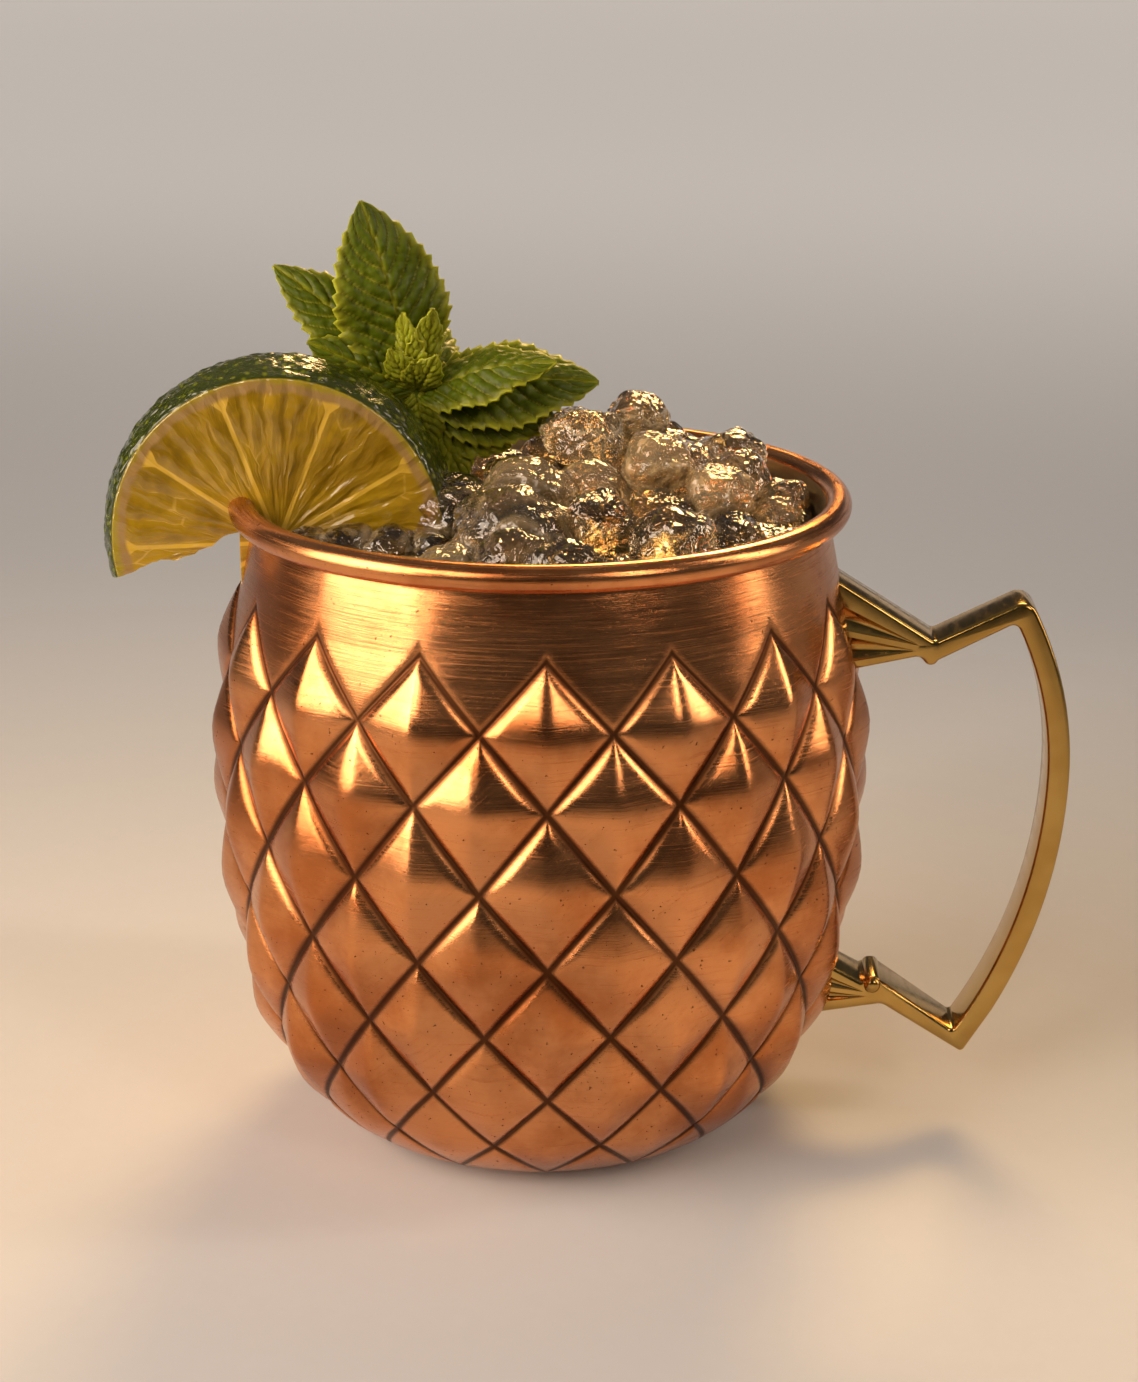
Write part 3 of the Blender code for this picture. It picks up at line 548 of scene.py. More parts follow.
def wall_sheet(name, rings):
    """A rolled sheet whose columns meet the diamonds' vertices; also gives each vertex's ring."""
    lines = tile_lines()
    steps = len(lines) - 1
    around = DIAMONDS_ROUND * steps
    sheet = primitive(name, bpy.ops.mesh.primitive_grid_add, x_subdivisions=around,
                      y_subdivisions=rings, size=2)
    points = read_points(sheet)
    i = np.rint((points[:, 0] + 1) / 2 * around).astype(int)
    ring = np.rint((points[:, 1] + 1) / 2 * rings).astype(int)
    tip = 2 * lines[i % steps] - 1
    columns = 2 * (i // steps) + 1 + tip
    return sheet, columns, np.abs(tip), ring


def upper_path():
    """Rings of the rolled rim and the inner face down to the floor, as (radius, height)."""
    path = []
    bead_steps = 22
    for i in range(bead_steps + 1):
        angle = RIM_START + (pi - RIM_START) * i / bead_steps
        path.append((RIM_RADIUS + RIM_BEAD * cos(angle), RIM_HEIGHT + RIM_BEAD * sin(angle)))
    lining_start = len(path) - 2
    for height in np.linspace(INNER_TOP, ARC_JOIN, 14):
        path.append(wall_radius(height, -WALL))
    for share in (0.6, 0.3, 0.1):
        path.append(wall_radius(ARC_JOIN * share, -WALL))
    path += [(FOOT_RADIUS, WALL), (FOOT_RADIUS * 0.5, WALL), (0.0, WALL)]
    return path, lining_start


def turned_points(columns, radii, heights):
    """Places on a turned shape by column, radius and height."""
    angle = FIRST_GROOVE + columns * pi / DIAMONDS_ROUND
    return np.stack((radii * np.sin(angle), -radii * np.cos(angle), heights), -1)


def make_band(sizes):
    """The plain band above the diamonds, the rolled rim and the inner face."""
    band_rings = 12
    path, lining_start = upper_path()
    last = band_rings + len(path)
    sheet, columns, tip, ring = wall_sheet("band", last)
    heights = np.interp(ring, [0, band_rings], [ROW_HEIGHTS[0], NECK_HEIGHT])
    edge = (1 - tip) + (heights - ROW_HEIGHTS[0]) / (ROW_HEIGHTS[0] - ROW_HEIGHTS[1])
    mask = groove_mask(edge, sizes.groove_width)
    rises = np.interp(heights, [ROW_HEIGHTS[0], NECK_HEIGHT], [sizes.band_edge, BAND_RISE])
    place_wall(sheet, columns, heights, rises * mask, mask, sizes)
    points = read_points(sheet)
    radii = np.array([p[0] for p in path])
    levels = np.array([p[1] for p in path])
    turned = ring > band_rings
    step = np.clip(ring - band_rings - 1, 0, len(path) - 1)
    points[turned] = turned_points(columns, radii[step], levels[step])[turned]
    write_points(sheet, points)
    for face in sheet.data.polygons:
        if min(ring[v] for v in face.vertices) > band_rings + lining_start:
            face.material_index = 1
    return sheet


def make_foot(sizes):
    """The rounded foot below the relief and the flat base."""
    shares = (0.82, 0.64, 0.46, 0.30, 0.16, 0.06)
    sheet, columns, _, ring = wall_sheet("foot", len(shares) + 3)
    share = np.array((1.0,) + shares + (0.0, 0.0, 0.0))[ring]
    heights = ROW_HEIGHTS[-1] * share
    place_wall(sheet, columns, heights, SHOULDER_RISE * share, np.ones(len(ring)), sizes)
    points = read_points(sheet)
    reach = np.array([FOOT_RADIUS, FOOT_RADIUS * 0.5, 0.0])
    flat = ring > len(shares)
    step = np.clip(ring - len(shares) - 1, 0, 2)
    points[flat] = turned_points(columns, reach[step], 0 * heights)[flat]
    write_points(sheet, points)
    return sheet


def make_wall(sizes, outer, lining):
    """The whole mug: diamonds, gussets, band, rim, inner face and foot as one closed wall."""
    tile = make_tile()
    tile.data.materials.append(outer)
    below = half_tile(tile, "gusset_below", False)
    above = half_tile(tile, "gusset_above", True)
    band, foot = make_band(sizes), make_foot(sizes)
    band.data.materials.append(outer)
    band.data.materials.append(lining)
    foot.data.materials.append(outer)
    parts = [band, foot]
    for row in range(1, LAST_ROW):
        for column in range((row + 1) % 2, 2 * DIAMONDS_ROUND, 2):
            parts.append(place_diamond(tile, column, row, sizes))
    for column in range(1, 2 * DIAMONDS_ROUND, 2):
        parts.append(place_gusset(below, column, 0, sizes.band_edge, sizes))
        parts.append(place_gusset(above, column, LAST_ROW, SHOULDER_RISE, sizes))
    for spare in (tile, below, above):
        bpy.data.objects.remove(spare)
    wall = join("copper_wall", parts)
    close_up(wall, 0.00002)
    return wall


def copper_material(colours):
    """Brushed copper: spun and brushed round, so fine level scratches under a warm gloss."""
    material, tree, shader, place = new_material("brushed_copper", {
        "Metallic": 1.0, "Anisotropic": 0.3})
    # Scratches are 0.25 mm apart and about 10 mm long, coarser than real so that they show
    level = grain(tree, place, 1.0, (90, 90, 4200), 6.0, 0.7)
    # Slanted ones are 0.4 mm apart, and lie in patches 9 mm wide that keep off the plain band
    tilted = node(tree, "VectorRotate", {"Vector": place, "Angle": 0.75}, rotation_type="Y_AXIS")
    slanted = grain(tree, tilted, 1.0, (160, 160, 2600), 5.0, 0.7)
    patches = node(tree, "MapRange", (grain(tree, place, 110, detail=3.0), 0.47, 0.60), **SMOOTH)
    height = node(tree, "SeparateXYZ", (place,)).outputs[2]
    below = node(tree, "MapRange", (height, ROW_HEIGHTS[0], ROW_HEIGHTS[1], 0.0, 0.6), **SMOOTH)
    scratches = node(tree, "Mix", {
        0: node(tree, "Math", (patches, below), **TIMES), 2: level, 3: slanted})
    lined = node(tree, "MapRange", (scratches, 0.50, 0.74, 0.0, 0.55), **SMOOTH)
    # Blotches of age are about 22 mm wide
    blotches = grain(tree, place, 45, detail=5.0, rough=0.65)
    aged = node(tree, "MapRange", (blotches, 0.38, 0.66, 0.0, 0.75), **SMOOTH)
    # Pits are 0.3 mm specks of oxide, and the grooves are full of it
    specks = grain(tree, place, 1700, detail=1.0)
    pits = node(tree, "MapRange", (specks, 0.70, 0.78, 0.0, 0.7), **SMOOTH)
    groove = node(tree, "Attribute", attribute_name="groove").outputs["Fac"]
    oxide = node(tree, "MapRange", (groove, 0.10, 0.70, 0.0, 0.88), **SMOOTH)
    dark = node(tree, "Math", (oxide, pits), **MOST)
    dull = node(tree, "Math", (dark, 0.25), **TIMES)
    brushed = node(tree, "MapRange", (scratches, 0.3, 0.8, 0.15, 0.34), **SMOOTH)
    fill(tree, shader, {
        "Base Color": coats(tree, colours.copper, (aged, colours.copper_deep),
                            (lined, colours.copper_deep), (dark, colours.patina)),
        "Roughness": node(tree, "Math", (brushed, dull), **ADD),
        "Normal": node(tree, "Bump", {"Height": scratches, "Strength": 0.45,
                                      "Distance": 0.00005}),
        "Tangent": node(tree, "Tangent", direction_type="RADIAL", axis="Z")})
    return material


def tin_material(colours):
    """Wiped tin lining: a soft grey-beige sheen with faint wiping marks."""
    material, tree, shader, place = new_material("wiped_tin", {"Metallic": 1.0})
    # Marks are 1.1 mm apart and 7 mm long
    marks = grain(tree, place, 1.0, (150, 150, 900), 4.0)
    wiped = node(tree, "MapRange", (marks, 0.3, 0.7), **SMOOTH)
    fill(tree, shader, {
        "Base Color": coats(tree, colours.tin, (wiped, tinted(colours.tin, 0.82))),
        "Roughness": node(tree, "MapRange", (marks, 0.3, 0.7, 0.32, 0.45), **SMOOTH)})
    return material


class MULE_OT_mug(bpy.types.Operator):
    """Add the dimpled copper mug"""

    bl_idname = "mule.add_mug"
    bl_label = "Copper mug"

    def execute(self, context):
        colours = context.scene.mule_colours
        wall = make_wall(context.scene.mule_sizes, copper_material(colours), tin_material(colours))
        finish_piece(wall, "mug_copper", "mug_body")
        return {"FINISHED"}


# Strap handle

def bow_reach(height, inset=0.0):
    """Reach of the handle's bow at a height, moved in by inset."""
    sweep = BOW_SWEEP_UP if height > BOW_HEIGHT else BOW_SWEEP_DOWN
    drop = height - BOW_HEIGHT
    return BOW_REACH - sweep + sqrt((sweep - inset) ** 2 - drop * drop)


def knuckle(x, z, start, end):
    """A small half-round bump on the strap's edge, from one angle to another."""
    angles = [radians(start + (end - start) * i / 8) for i in range(9)]
    return [(x + KNUCKLE_RADIUS * cos(a), z + KNUCKLE_RADIUS * sin(a)) for a in angles]


def round_corner(before, corner, after, radius, steps=6):
    """Points that round a corner between two straight runs."""
    before, corner, after = Vector(before), Vector(corner), Vector(after)
    back, on = (before - corner).normalized(), (after - corner).normalized()
    half = back.angle(on) / 2
    middle = corner + (back + on).normalized() * radius / sin(half)
    start = corner + back * radius / tan(half) - middle
    turn = (pi - 2 * half) * (1 if back.cross(on) > 0 else -1)
    made = []
    for i in range(steps + 1):
        angle = turn * i / steps
        made.append((middle.x + start.x * cos(angle) + start.y * sin(angle),
                     middle.y - start.x * sin(angle) + start.y * cos(angle)))
    return made


def handle_outline():
    """The strap's outline: down the outer bow from the upper root, and back along the inside."""
    steps = 28
    low = LOWER_TIP[1] + 0.0070
    outer = [(bow_reach(h), h) for h in np.linspace(UPPER_CORNER_HEIGHT, low, steps + 1)]
    inner = [(bow_reach(h, BOW_THICKNESS), h) for h in np.linspace(*INNER_CORNERS, steps + 1)]
    lower, upper = knuckle(*LOWER_KNUCKLE, 150, 20), knuckle(*UPPER_KNUCKLE, -20, -150)
    outline = [(UPPER_ROOT_REACH, UPPER_ROOT[0])]
    outline += round_corner(outline[0], UPPER_VALLEY, outer[0], 0.0008)
    outline += round_corner(UPPER_VALLEY, outer[0], outer[1], UPPER_CORNER_RADIUS) + outer[1:]
    outline += round_corner(outer[-1], LOWER_TIP, LOWER_VALLEY, 0.0007)
    foot = (LOWER_ROOT_REACH, LOWER_ROOT[0])
    outline += round_corner(LOWER_TIP, LOWER_VALLEY, foot, 0.0015)
    outline += [foot, (LOWER_ROOT_REACH, LOWER_ROOT[1]), LOWER_HEEL] + lower
    outline += round_corner(lower[-1], inner[0], inner[1], 0.0006) + inner[1:-1]
    outline += round_corner(inner[-2], inner[-1], upper[0], 0.0010) + upper
    return outline + [UPPER_HEEL, (UPPER_ROOT_REACH, UPPER_ROOT[1])]


def plate(name, outline, low, high):
    """A flat plate with an outline in XZ, from one Y to another."""
    piece = primitive(name, bpy.ops.mesh.primitive_circle_add, vertices=len(outline), radius=1,
                      fill_type="NGON")
    write_points(piece, [(x, low, z) for x, z in outline])
    edit(piece, (bpy.ops.mesh.extrude_region_move,
                 {"TRANSFORM_OT_translate": {"value": (0, high - low, 0)}}))
    close_up(piece)
    return piece


def carve_web(handle, web, depth):
    """Scoop a three-cornered web out of both sides; it runs out at the web's last corner."""
    steps, slices, clear = 12, 10, 0.001
    half = HANDLE_WIDTH / 2
    top, low, corner = (Vector(p) for p in web)
    for side in (-1, 1):
        cutter = primitive("web_cutter", bpy.ops.mesh.primitive_grid_add, x_subdivisions=steps + 2,
                           y_subdivisions=slices * 2, size=2)
        points = []
        for u, v, _ in read_points(cutter):
            step, turn = round((u + 1) / 2 * (steps + 2)), round((v + 1) * slices)
            along = min(1.0, max(0.0, (step - 1) / steps))
            across = min(turn, 2 * slices - turn) / slices
            out = 0.0001 - depth * (1 - along) ** 0.6 * sin(pi * across) ** 0.7
            if slices < turn < 2 * slices:
                out = clear
            # Both ends close in a point
            if step in (0, steps + 2):
                across, out = 0.5, clear
            spot = top.lerp(low, across).lerp(corner, along)
            points.append((spot.x, side * (half + out), spot.y))
        write_points(cutter, points)
        close_up(cutter)
        carve(handle, cutter)


def make_handle(sizes):
    """The strap handle: rounded all along, with hollow webs fanning out at both roots."""
    half = HANDLE_WIDTH / 2
    handle = plate("brass_handle", handle_outline(), -half, half)
    modify(handle, "BEVEL", width=sizes.strap_edge, segments=4, limit_method="ANGLE",
           angle_limit=radians(50), miter_outer="MITER_ARC")
    webs = (((0.0400, 0.0802), (0.0400, 0.0756), (0.0541, 0.0729)),
            ((0.0400, 0.0750), (0.0400, 0.0696), (0.0536, 0.0723)),
            ((0.0340, 0.0258), (0.0340, 0.0212), (0.0482, 0.0194)),
            ((0.0340, 0.0206), (0.0340, 0.0164), (0.0486, 0.0188)))
    for web in webs:
        carve_web(handle, web, sizes.web_depth)
    # A roll with domed ends lies across the strap at the lower knuckle
    roll = primitive("roll", bpy.ops.mesh.primitive_cylinder_add, vertices=32,
                     radius=KNUCKLE_RADIUS * 1.2, depth=HANDLE_WIDTH + 0.0012,
                     location=(LOWER_KNUCKLE[0] - 0.0002, 0, LOWER_KNUCKLE[1] - 0.0003),
                     rotation=(pi / 2, 0, 0))
    pick(roll)
    bpy.ops.object.transform_apply()
    modify(roll, "BEVEL", width=0.0011, segments=6, angle_limit=radians(50))
    carve(handle, roll, "UNION")
    return handle


def brass_material(colours):
    """Polished brass: cast, buffed bright, with hairline polishing marks in clouds."""
    material, tree, shader, place = new_material("polished_brass", {"Metallic": 1.0})
    # Marks are 1.1 mm apart, coarser than real so that they show, and clouds are 8 mm wide
    marks = grain(tree, place, 1.0, (900, 160, 900), 5.0, 0.65)
    cloud = node(tree, "MapRange", (grain(tree, place, 120, detail=2.0), 0.35, 0.7), **SMOOTH)
    deep = tinted(colours.brass, 0.84, 0.78, 0.68)
    fill(tree, shader, {
        "Base Color": coats(tree, colours.brass, (cloud, deep)),
        "Roughness": node(tree, "MapRange", (marks, 0.3, 0.8, 0.10, 0.24), **SMOOTH),
        "Normal": node(tree, "Bump", {"Height": marks, "Strength": 0.25, "Distance": 0.00003})})
    return material


class MULE_OT_handle(bpy.types.Operator):
    """Add the brass strap handle"""

    bl_idname = "mule.add_handle"
    bl_label = "Brass handle"

    def execute(self, context):
        handle = make_handle(context.scene.mule_sizes)
        handle.data.materials.append(brass_material(context.scene.mule_colours))
        finish_piece(handle, "handle_brass", "handle", sharp=radians(28))
        return {"FINISHED"}


# Drink

def disc_sheet(name, around, rings):
    """A grid rolled into rings; gives its turn angles and ring numbers."""
    sheet = primitive(name, bpy.ops.mesh.primitive_grid_add, x_subdivisions=around,
                      y_subdivisions=rings, size=2)
    points = read_points(sheet)
    angle = (points[:, 0] + 1) * pi
    ring = np.rint((points[:, 1] + 1) / 2 * rings).astype(int)
    return sheet, angle, ring


def make_drink(sizes):
    """The drink: filled to its level, just into the wall, with small ripples on top."""
    into_wall = 0.0004
    top = 60
    reach, _ = wall_radius(0.0854, -WALL + into_wall)
    profile = [(reach * i / top, DRINK_LEVEL) for i in range(top + 1)]
    for height in np.linspace(0.0820, ARC_JOIN, 10):
        profile.append(wall_radius(height, -WALL + into_wall))
    profile += [wall_radius(ARC_JOIN * share, -WALL + into_wall) for share in (0.5, 0.15)]
    profile += [(FOOT_RADIUS, WALL - into_wall), (0.0, WALL - into_wall)]
    sheet, angle, ring = disc_sheet("ginger_drink", 160, len(profile) - 1)
    radius = np.array([p[0] for p in profile])[ring]
    height = np.array([p[1] for p in profile])[ring]
    x, y = radius * np.cos(angle), radius * np.sin(angle)
    wave = np.array([noise.noise(Vector((px * 160, py * 160, 3.0))) for px, py in zip(x, y)])
    fade = np.where(ring <= top, np.clip((reach - radius) / 0.002, 0, 1), 0.0)
    creep = np.where(ring <= top, np.exp(-(reach - radius) / 0.0009), 0.0)
    height = height + wave * sizes.ripple * fade + 0.0006 * creep
    write_points(sheet, np.stack((x, y, height), -1))
    close_up(sheet)
    return sheet


def drink_material(colours):
    """Ginger drink with lime: a clear amber-green liquid that looks dark over its depth."""
    material, tree, shader, place = new_material("ginger_drink", {
        "Roughness": 0.03, "IOR": 1.34, "Transmission Weight": 0.35})
    # Clouds of lime juice are 6 mm wide
    cloud = node(tree, "MapRange", (grain(tree, place, 160, detail=3.0), 0.35, 0.65), **SMOOTH)
    fill(tree, shader, {
        "Base Color": coats(tree, colours.drink, (cloud, tinted(colours.drink, 0.45)))})
    return material


def make_bubbles():
    """Small bubbles that gather on the drink by the lime, the ice and the wall."""
    draw = random.Random(5)
    seed = primitive("bubble", bpy.ops.mesh.primitive_ico_sphere_add, subdivisions=2, radius=1.0)
    parts = []
    while len(parts) < BUBBLES:
        angle, reach = draw.uniform(0, 2 * pi), sqrt(draw.uniform(0.02, 1)) * ICE_REACH
        x, y = reach * cos(angle), reach * sin(angle)
        # None rise under the heap or in the lime
        if x > -0.005 and hypot(x - ICE_MIDDLE[0], y) < 0.026:
            continue
        if abs(y - LIME_MIDDLE[1] - x * sin(LIME_TURN)) < 0.0078 and x < -0.0128:
            continue
        size = draw.uniform(0.00018, 0.00055)
        bubble = copy_of(seed, "bubble")
        points = read_points(seed) * size
        write_points(bubble, points + (x, y, DRINK_LEVEL + size * 0.35))
        parts.append(bubble)
    bpy.data.objects.remove(seed)
    return join("drink_bubbles", parts)


def bubble_material(colours):
    """Gas bubbles: thin clear skins that catch small bright glints."""
    material, tree, shader, place = new_material("bubble_skin", {
        "Roughness": 0.02, "IOR": 1.15, "Transmission Weight": 0.9})
    shade = grain(tree, place, 700, detail=1.0)
    fill(tree, shader, {"Base Color": coats(tree, colours.ice, (shade, colours.frost))})
    return material


class MULE_OT_drink(bpy.types.Operator):
    """Add the drink and its bubbles"""

    bl_idname = "mule.add_drink"
    bl_label = "Ginger drink"

    def execute(self, context):
        colours = context.scene.mule_colours
        drink = make_drink(context.scene.mule_sizes)
        drink.data.materials.append(drink_material(colours))
        finish_piece(drink, "drink", "drink")
        bubbles = make_bubbles()
        bubbles.data.materials.append(bubble_material(colours))
        finish_piece(bubbles, "drink")
        return {"FINISHED"}


# Ice

def nugget_places():
    """The nuggets that show, others by rule where the heap goes on out of sight, and sunk ones."""
    places = [(Vector(row[:3]) * MM, row[3] * MM) for row in NUGGETS]
    low_tips = [Vector(row[1]) * MM for row in LEAVES[-LOW_LEAVES:]]
    draw = random.Random(11)
    tries = 0
    while len(places) < len(NUGGETS) + HIDDEN_NUGGETS and tries < 4000:
        tries += 1
        angle, reach = draw.uniform(0, 2 * pi), sqrt(draw.uniform(0.02, 1))
        x = ICE_MIDDLE[0] + ICE_SPREAD[0] * reach * cos(angle)
        y = ICE_MIDDLE[1] + ICE_SPREAD[1] * reach * sin(angle)
        width = draw.uniform(0.0095, 0.0128)
        dome = sqrt(max(0.0, 1 - reach * reach * 0.9))
        spot = Vector((x, y, DRINK_LEVEL + NUGGET_DOME * dome))
        clear = all((spot - other).length > NUGGET_SPACING * (width + size)
                    for other, size in places)
        clear = clear and all((spot - tip).length > width / 2 + LEAF_CLEARANCE for tip in low_tips)
        if clear and Vector((x, y)).length + width / 2 < ICE_REACH:
            places.append((spot, width))
    return places + [(Vector(row[:3]) * MM, row[3] * MM) for row in SUNK_NUGGETS]


def nugget_points(ball, place, width, seed, lump):
    """A unit ball's points as one melted nugget: a few broad lumps and soft dents."""
    draw = random.Random(seed)
    shift = Vector((draw.uniform(-9, 9), draw.uniform(-9, 9), draw.uniform(-9, 9)))
    stretch = Vector((draw.uniform(0.92, 1.12), draw.uniform(0.85, 1.05), draw.uniform(0.70, 0.85)))
    turn = Matrix.Rotation(draw.uniform(0, pi), 3, "Z")
    made = []
    for point in ball:
        way = Vector(point)
        broad = noise.noise(way * 1.3 + shift)
        knobs = sqrt(abs(noise.noise(way * 2.3 + shift * 1.7)) + 0.01) - 0.4
        fine = noise.noise(way * 7 + shift)
        reach = 1.04 + lump * (0.8 * broad + 0.45 * knobs) + 0.018 * fine
        spot = place + turn @ (way * reach * stretch * (width / 2))
        # The wall holds back whatever would reach through it
        beyond = hypot(spot.x, spot.y) / NUGGET_REACH
        made.append((spot.x / max(1.0, beyond), spot.y / max(1.0, beyond), spot.z))
    return np.array(made)


def seam_shares(points, number, places):
    """How close a nugget's vertices lie to other nuggets: 1 where they touch, 0 from 1.8 mm on."""
    gaps = [np.linalg.norm(points - np.array(spot), axis=1) - width * 0.47
            for i, (spot, width) in enumerate(places) if i != number]
    return np.clip(1 - np.min(gaps, axis=0) / 0.0018, 0, 1)


def make_ice(sizes):
    """The heap: separate melted nuggets over a crushed bed that floats on the drink."""
    ball = primitive("ball", bpy.ops.mesh.primitive_ico_sphere_add, subdivisions=5, radius=1.0)
    crumb = primitive("crumb", bpy.ops.mesh.primitive_ico_sphere_add, subdivisions=3, radius=1.0)
    points, crumb_points = read_points(ball), read_points(crumb)
    draw = random.Random(23)
    places = nugget_places()
    shown = len(NUGGETS) + HIDDEN_NUGGETS
    parts = []
    for i, (place, width) in enumerate(places):
        nugget = copy_of(ball, "nugget")
        placed = nugget_points(points, place, width, 100 + i, sizes.nugget_lump)
        write_points(nugget, placed)
        cloudy = 1.0 if i in CLOUDY_NUGGETS else draw.uniform(0.0, 0.45)
        write_attribute(nugget, "cloud", [cloudy if i < shown else 0.0] * len(points))
        # Vertices near other nuggets take the slush colour as painted shade in the seams, partly as
        # drink soaked in there; hidden and sunk nuggets take it as soaked ice
        seams = 0.85 * seam_shares(placed, i, places)
        write_attribute(nugget, "soak_and_shade", np.maximum(seams, 0.0 if i < shown else 0.75))
        parts.append(nugget)
    # Crumbs of ice lie in the hollows at the heap's edge
    for i in range(CRUMBS):
        angle, reach = draw.uniform(0, 2 * pi), draw.uniform(0.78, 1.06)
        x = ICE_MIDDLE[0] + ICE_SPREAD[0] * reach * cos(angle)
        y = ICE_MIDDLE[1] + ICE_SPREAD[1] * reach * sin(angle)
        if hypot(x, y) > 0.037 or x < -0.0100:
            continue
        spot = Vector((x, y, DRINK_LEVEL + draw.uniform(0.0006, 0.0030)))
        crumbled = copy_of(crumb, "crumb")
        size = draw.uniform(0.0022, 0.0046)
        write_points(crumbled, nugget_points(crumb_points, spot, size, 300 + i, 0.4))
        write_attribute(crumbled, "cloud", [draw.uniform(0.0, 1.0)] * len(crumb_points))
        # Crumbs take a fifth of the slush colour
        write_attribute(crumbled, "soak_and_shade", [0.2] * len(crumb_points))
        parts.append(crumbled)
    bed = copy_of(ball, "bed")
    spread = points / np.linalg.norm(points, axis=1)[:, None]
    spread = spread * (*ICE_SPREAD, ICE_RISE) + (*ICE_MIDDLE, DRINK_LEVEL - 0.0002)
    spread[:, 2] += [0.0012 * noise.noise(Vector(p) * 240) for p in spread]
    limit = np.minimum(1, BED_REACH / np.maximum(np.linalg.norm(spread[:, :2], axis=1), 1e-6))
    write_points(bed, spread * np.stack((limit, limit, np.ones(len(limit))), -1))
    write_attribute(bed, "cloud", [0.0] * len(points))
    # The bed takes the full slush colour: soaked ice, and painted shade in the gaps between the
    # nuggets
    write_attribute(bed, "soak_and_shade", [1.0] * len(points))
    parts.append(bed)
    bpy.data.objects.remove(ball)
    bpy.data.objects.remove(crumb)
    return join("ice_nuggets", parts)


def ice_material(colours):
    """Melting nugget ice: clear and wet outside, with cloudy patches and a crinkled skin, and a
    slush colour that is partly painted shade between the nuggets.
    """
    material, tree, shader, place = new_material("melting_ice", {
        "IOR": 1.31, "Coat Weight": 1.0, "Coat Roughness": 0.03, "Coat IOR": 1.5})
    cloud = node(tree, "Attribute", attribute_name="cloud").outputs["Fac"]
    soak_and_shade = node(tree, "Attribute", attribute_name="soak_and_shade").outputs["Fac"]
    # Lumps of the skin are 1.6 mm apart and its fine creases 0.5 mm, bent so that they look torn
    swirl = node(tree, "TexNoise", {"Vector": place, "Scale": 520.0}).outputs[1]
    sway = node(tree, "VectorMath", (swirl, (0.0012, 0.0012, 0.0012)), **TIMES)
    bent = node(tree, "VectorMath", (place, sway), **ADD)
    lumps = node(tree, "Math", (grain(tree, bent, 620, detail=1.0), 1.7), **TIMES)
    creases = node(tree, "TexVoronoi", {"Vector": bent, "Scale": 1900.0})
    creased = node(tree, "Math", (creases, 0.20), **TIMES)
    skin = node(tree, "Math", (lumps, creased), **ADD)
    bump = node(tree, "Bump", {"Height": skin, "Strength": 0.9, "Distance": 0.0004})
    # Patches of trapped air are 3 mm wide
    patches = grain(tree, place, 330, detail=3.0, rough=0.6)
    airy = node(tree, "MapRange", (patches, 0.52, 0.70, 0.0, 0.4), **SMOOTH)
    white = node(tree, "Math", (cloud, 0.48), **TIMES)
    frost = node(tree, "Math", (0.9, node(tree, "Math", (airy, white), **ADD)),
                 operation="MINIMUM")
    # Soaked and shaded parts, like frosted ones, let less light through
    frost_soak_and_shade = node(tree, "Math", (frost, node(tree, "Math", (soak_and_shade, 1.6), **TIMES)), **MOST)
    fine = node(tree, "Math", (0.2, grain(tree, place, 1300, detail=3.0)), **ADD)
    haze = node(tree, "Math", (frost, fine), **TIMES)
    fill(tree, shader, {
        "Base Color": coats(tree, colours.ice, (frost, colours.frost), (soak_and_shade, colours.slush_and_shade)),
        "Transmission Weight": node(tree, "MapRange", (frost_soak_and_shade, 0.0, 1.6, 1.0, 0.35), **SMOOTH),
        "Roughness": node(tree, "MapRange", (haze, 0.0, 0.7, 0.04, 0.32), **SMOOTH),
        "Normal": bump, "Coat Normal": bump})
    return material


class MULE_OT_ice(bpy.types.Operator):
    """Add the heap of ice nuggets"""

    bl_idname = "mule.add_ice"
    bl_label = "Nugget ice"

    def execute(self, context):
        ice = make_ice(context.scene.mule_sizes)
        ice.data.materials.append(ice_material(context.scene.mule_colours))
        finish_piece(ice, "ice", "ice_heap")
        return {"FINISHED"}


# Lime slice

def lime_matrix():
    """Turns the wheel's own axes, with its axle along Z, to its place over the rim."""
    turn = Matrix.Rotation(LIME_TURN, 4, "Z")
    return turn @ Matrix.Translation(LIME_MIDDLE) @ Matrix.Rotation(pi / 2, 4, "X")


def flesh_height(x, y, sizes):
    """Relief of a cut face: long juice sacs that point to the middle, sunk by the membranes."""
    radius, angle = hypot(x, y), atan2(y, x)
    if radius > PITH_INNER:
        return 0.0
    gaps = [abs(((angle - radians(m) + pi) % (2 * pi)) - pi) * radius for m in MEMBRANE_ANGLES]
    open_flesh = min(1.0, min(gaps) / 0.0012) * min(1.0, (PITH_INNER - radius) / 0.0010)
    sac = noise.noise(Vector((angle * 9, radius * 190, 2.0)))
    fine = noise.noise(Vector((angle * 21, radius * 420, 7.0)))
    return sizes.juice_relief * open_flesh * (0.3 + 1.4 * sac + 0.5 * fine)


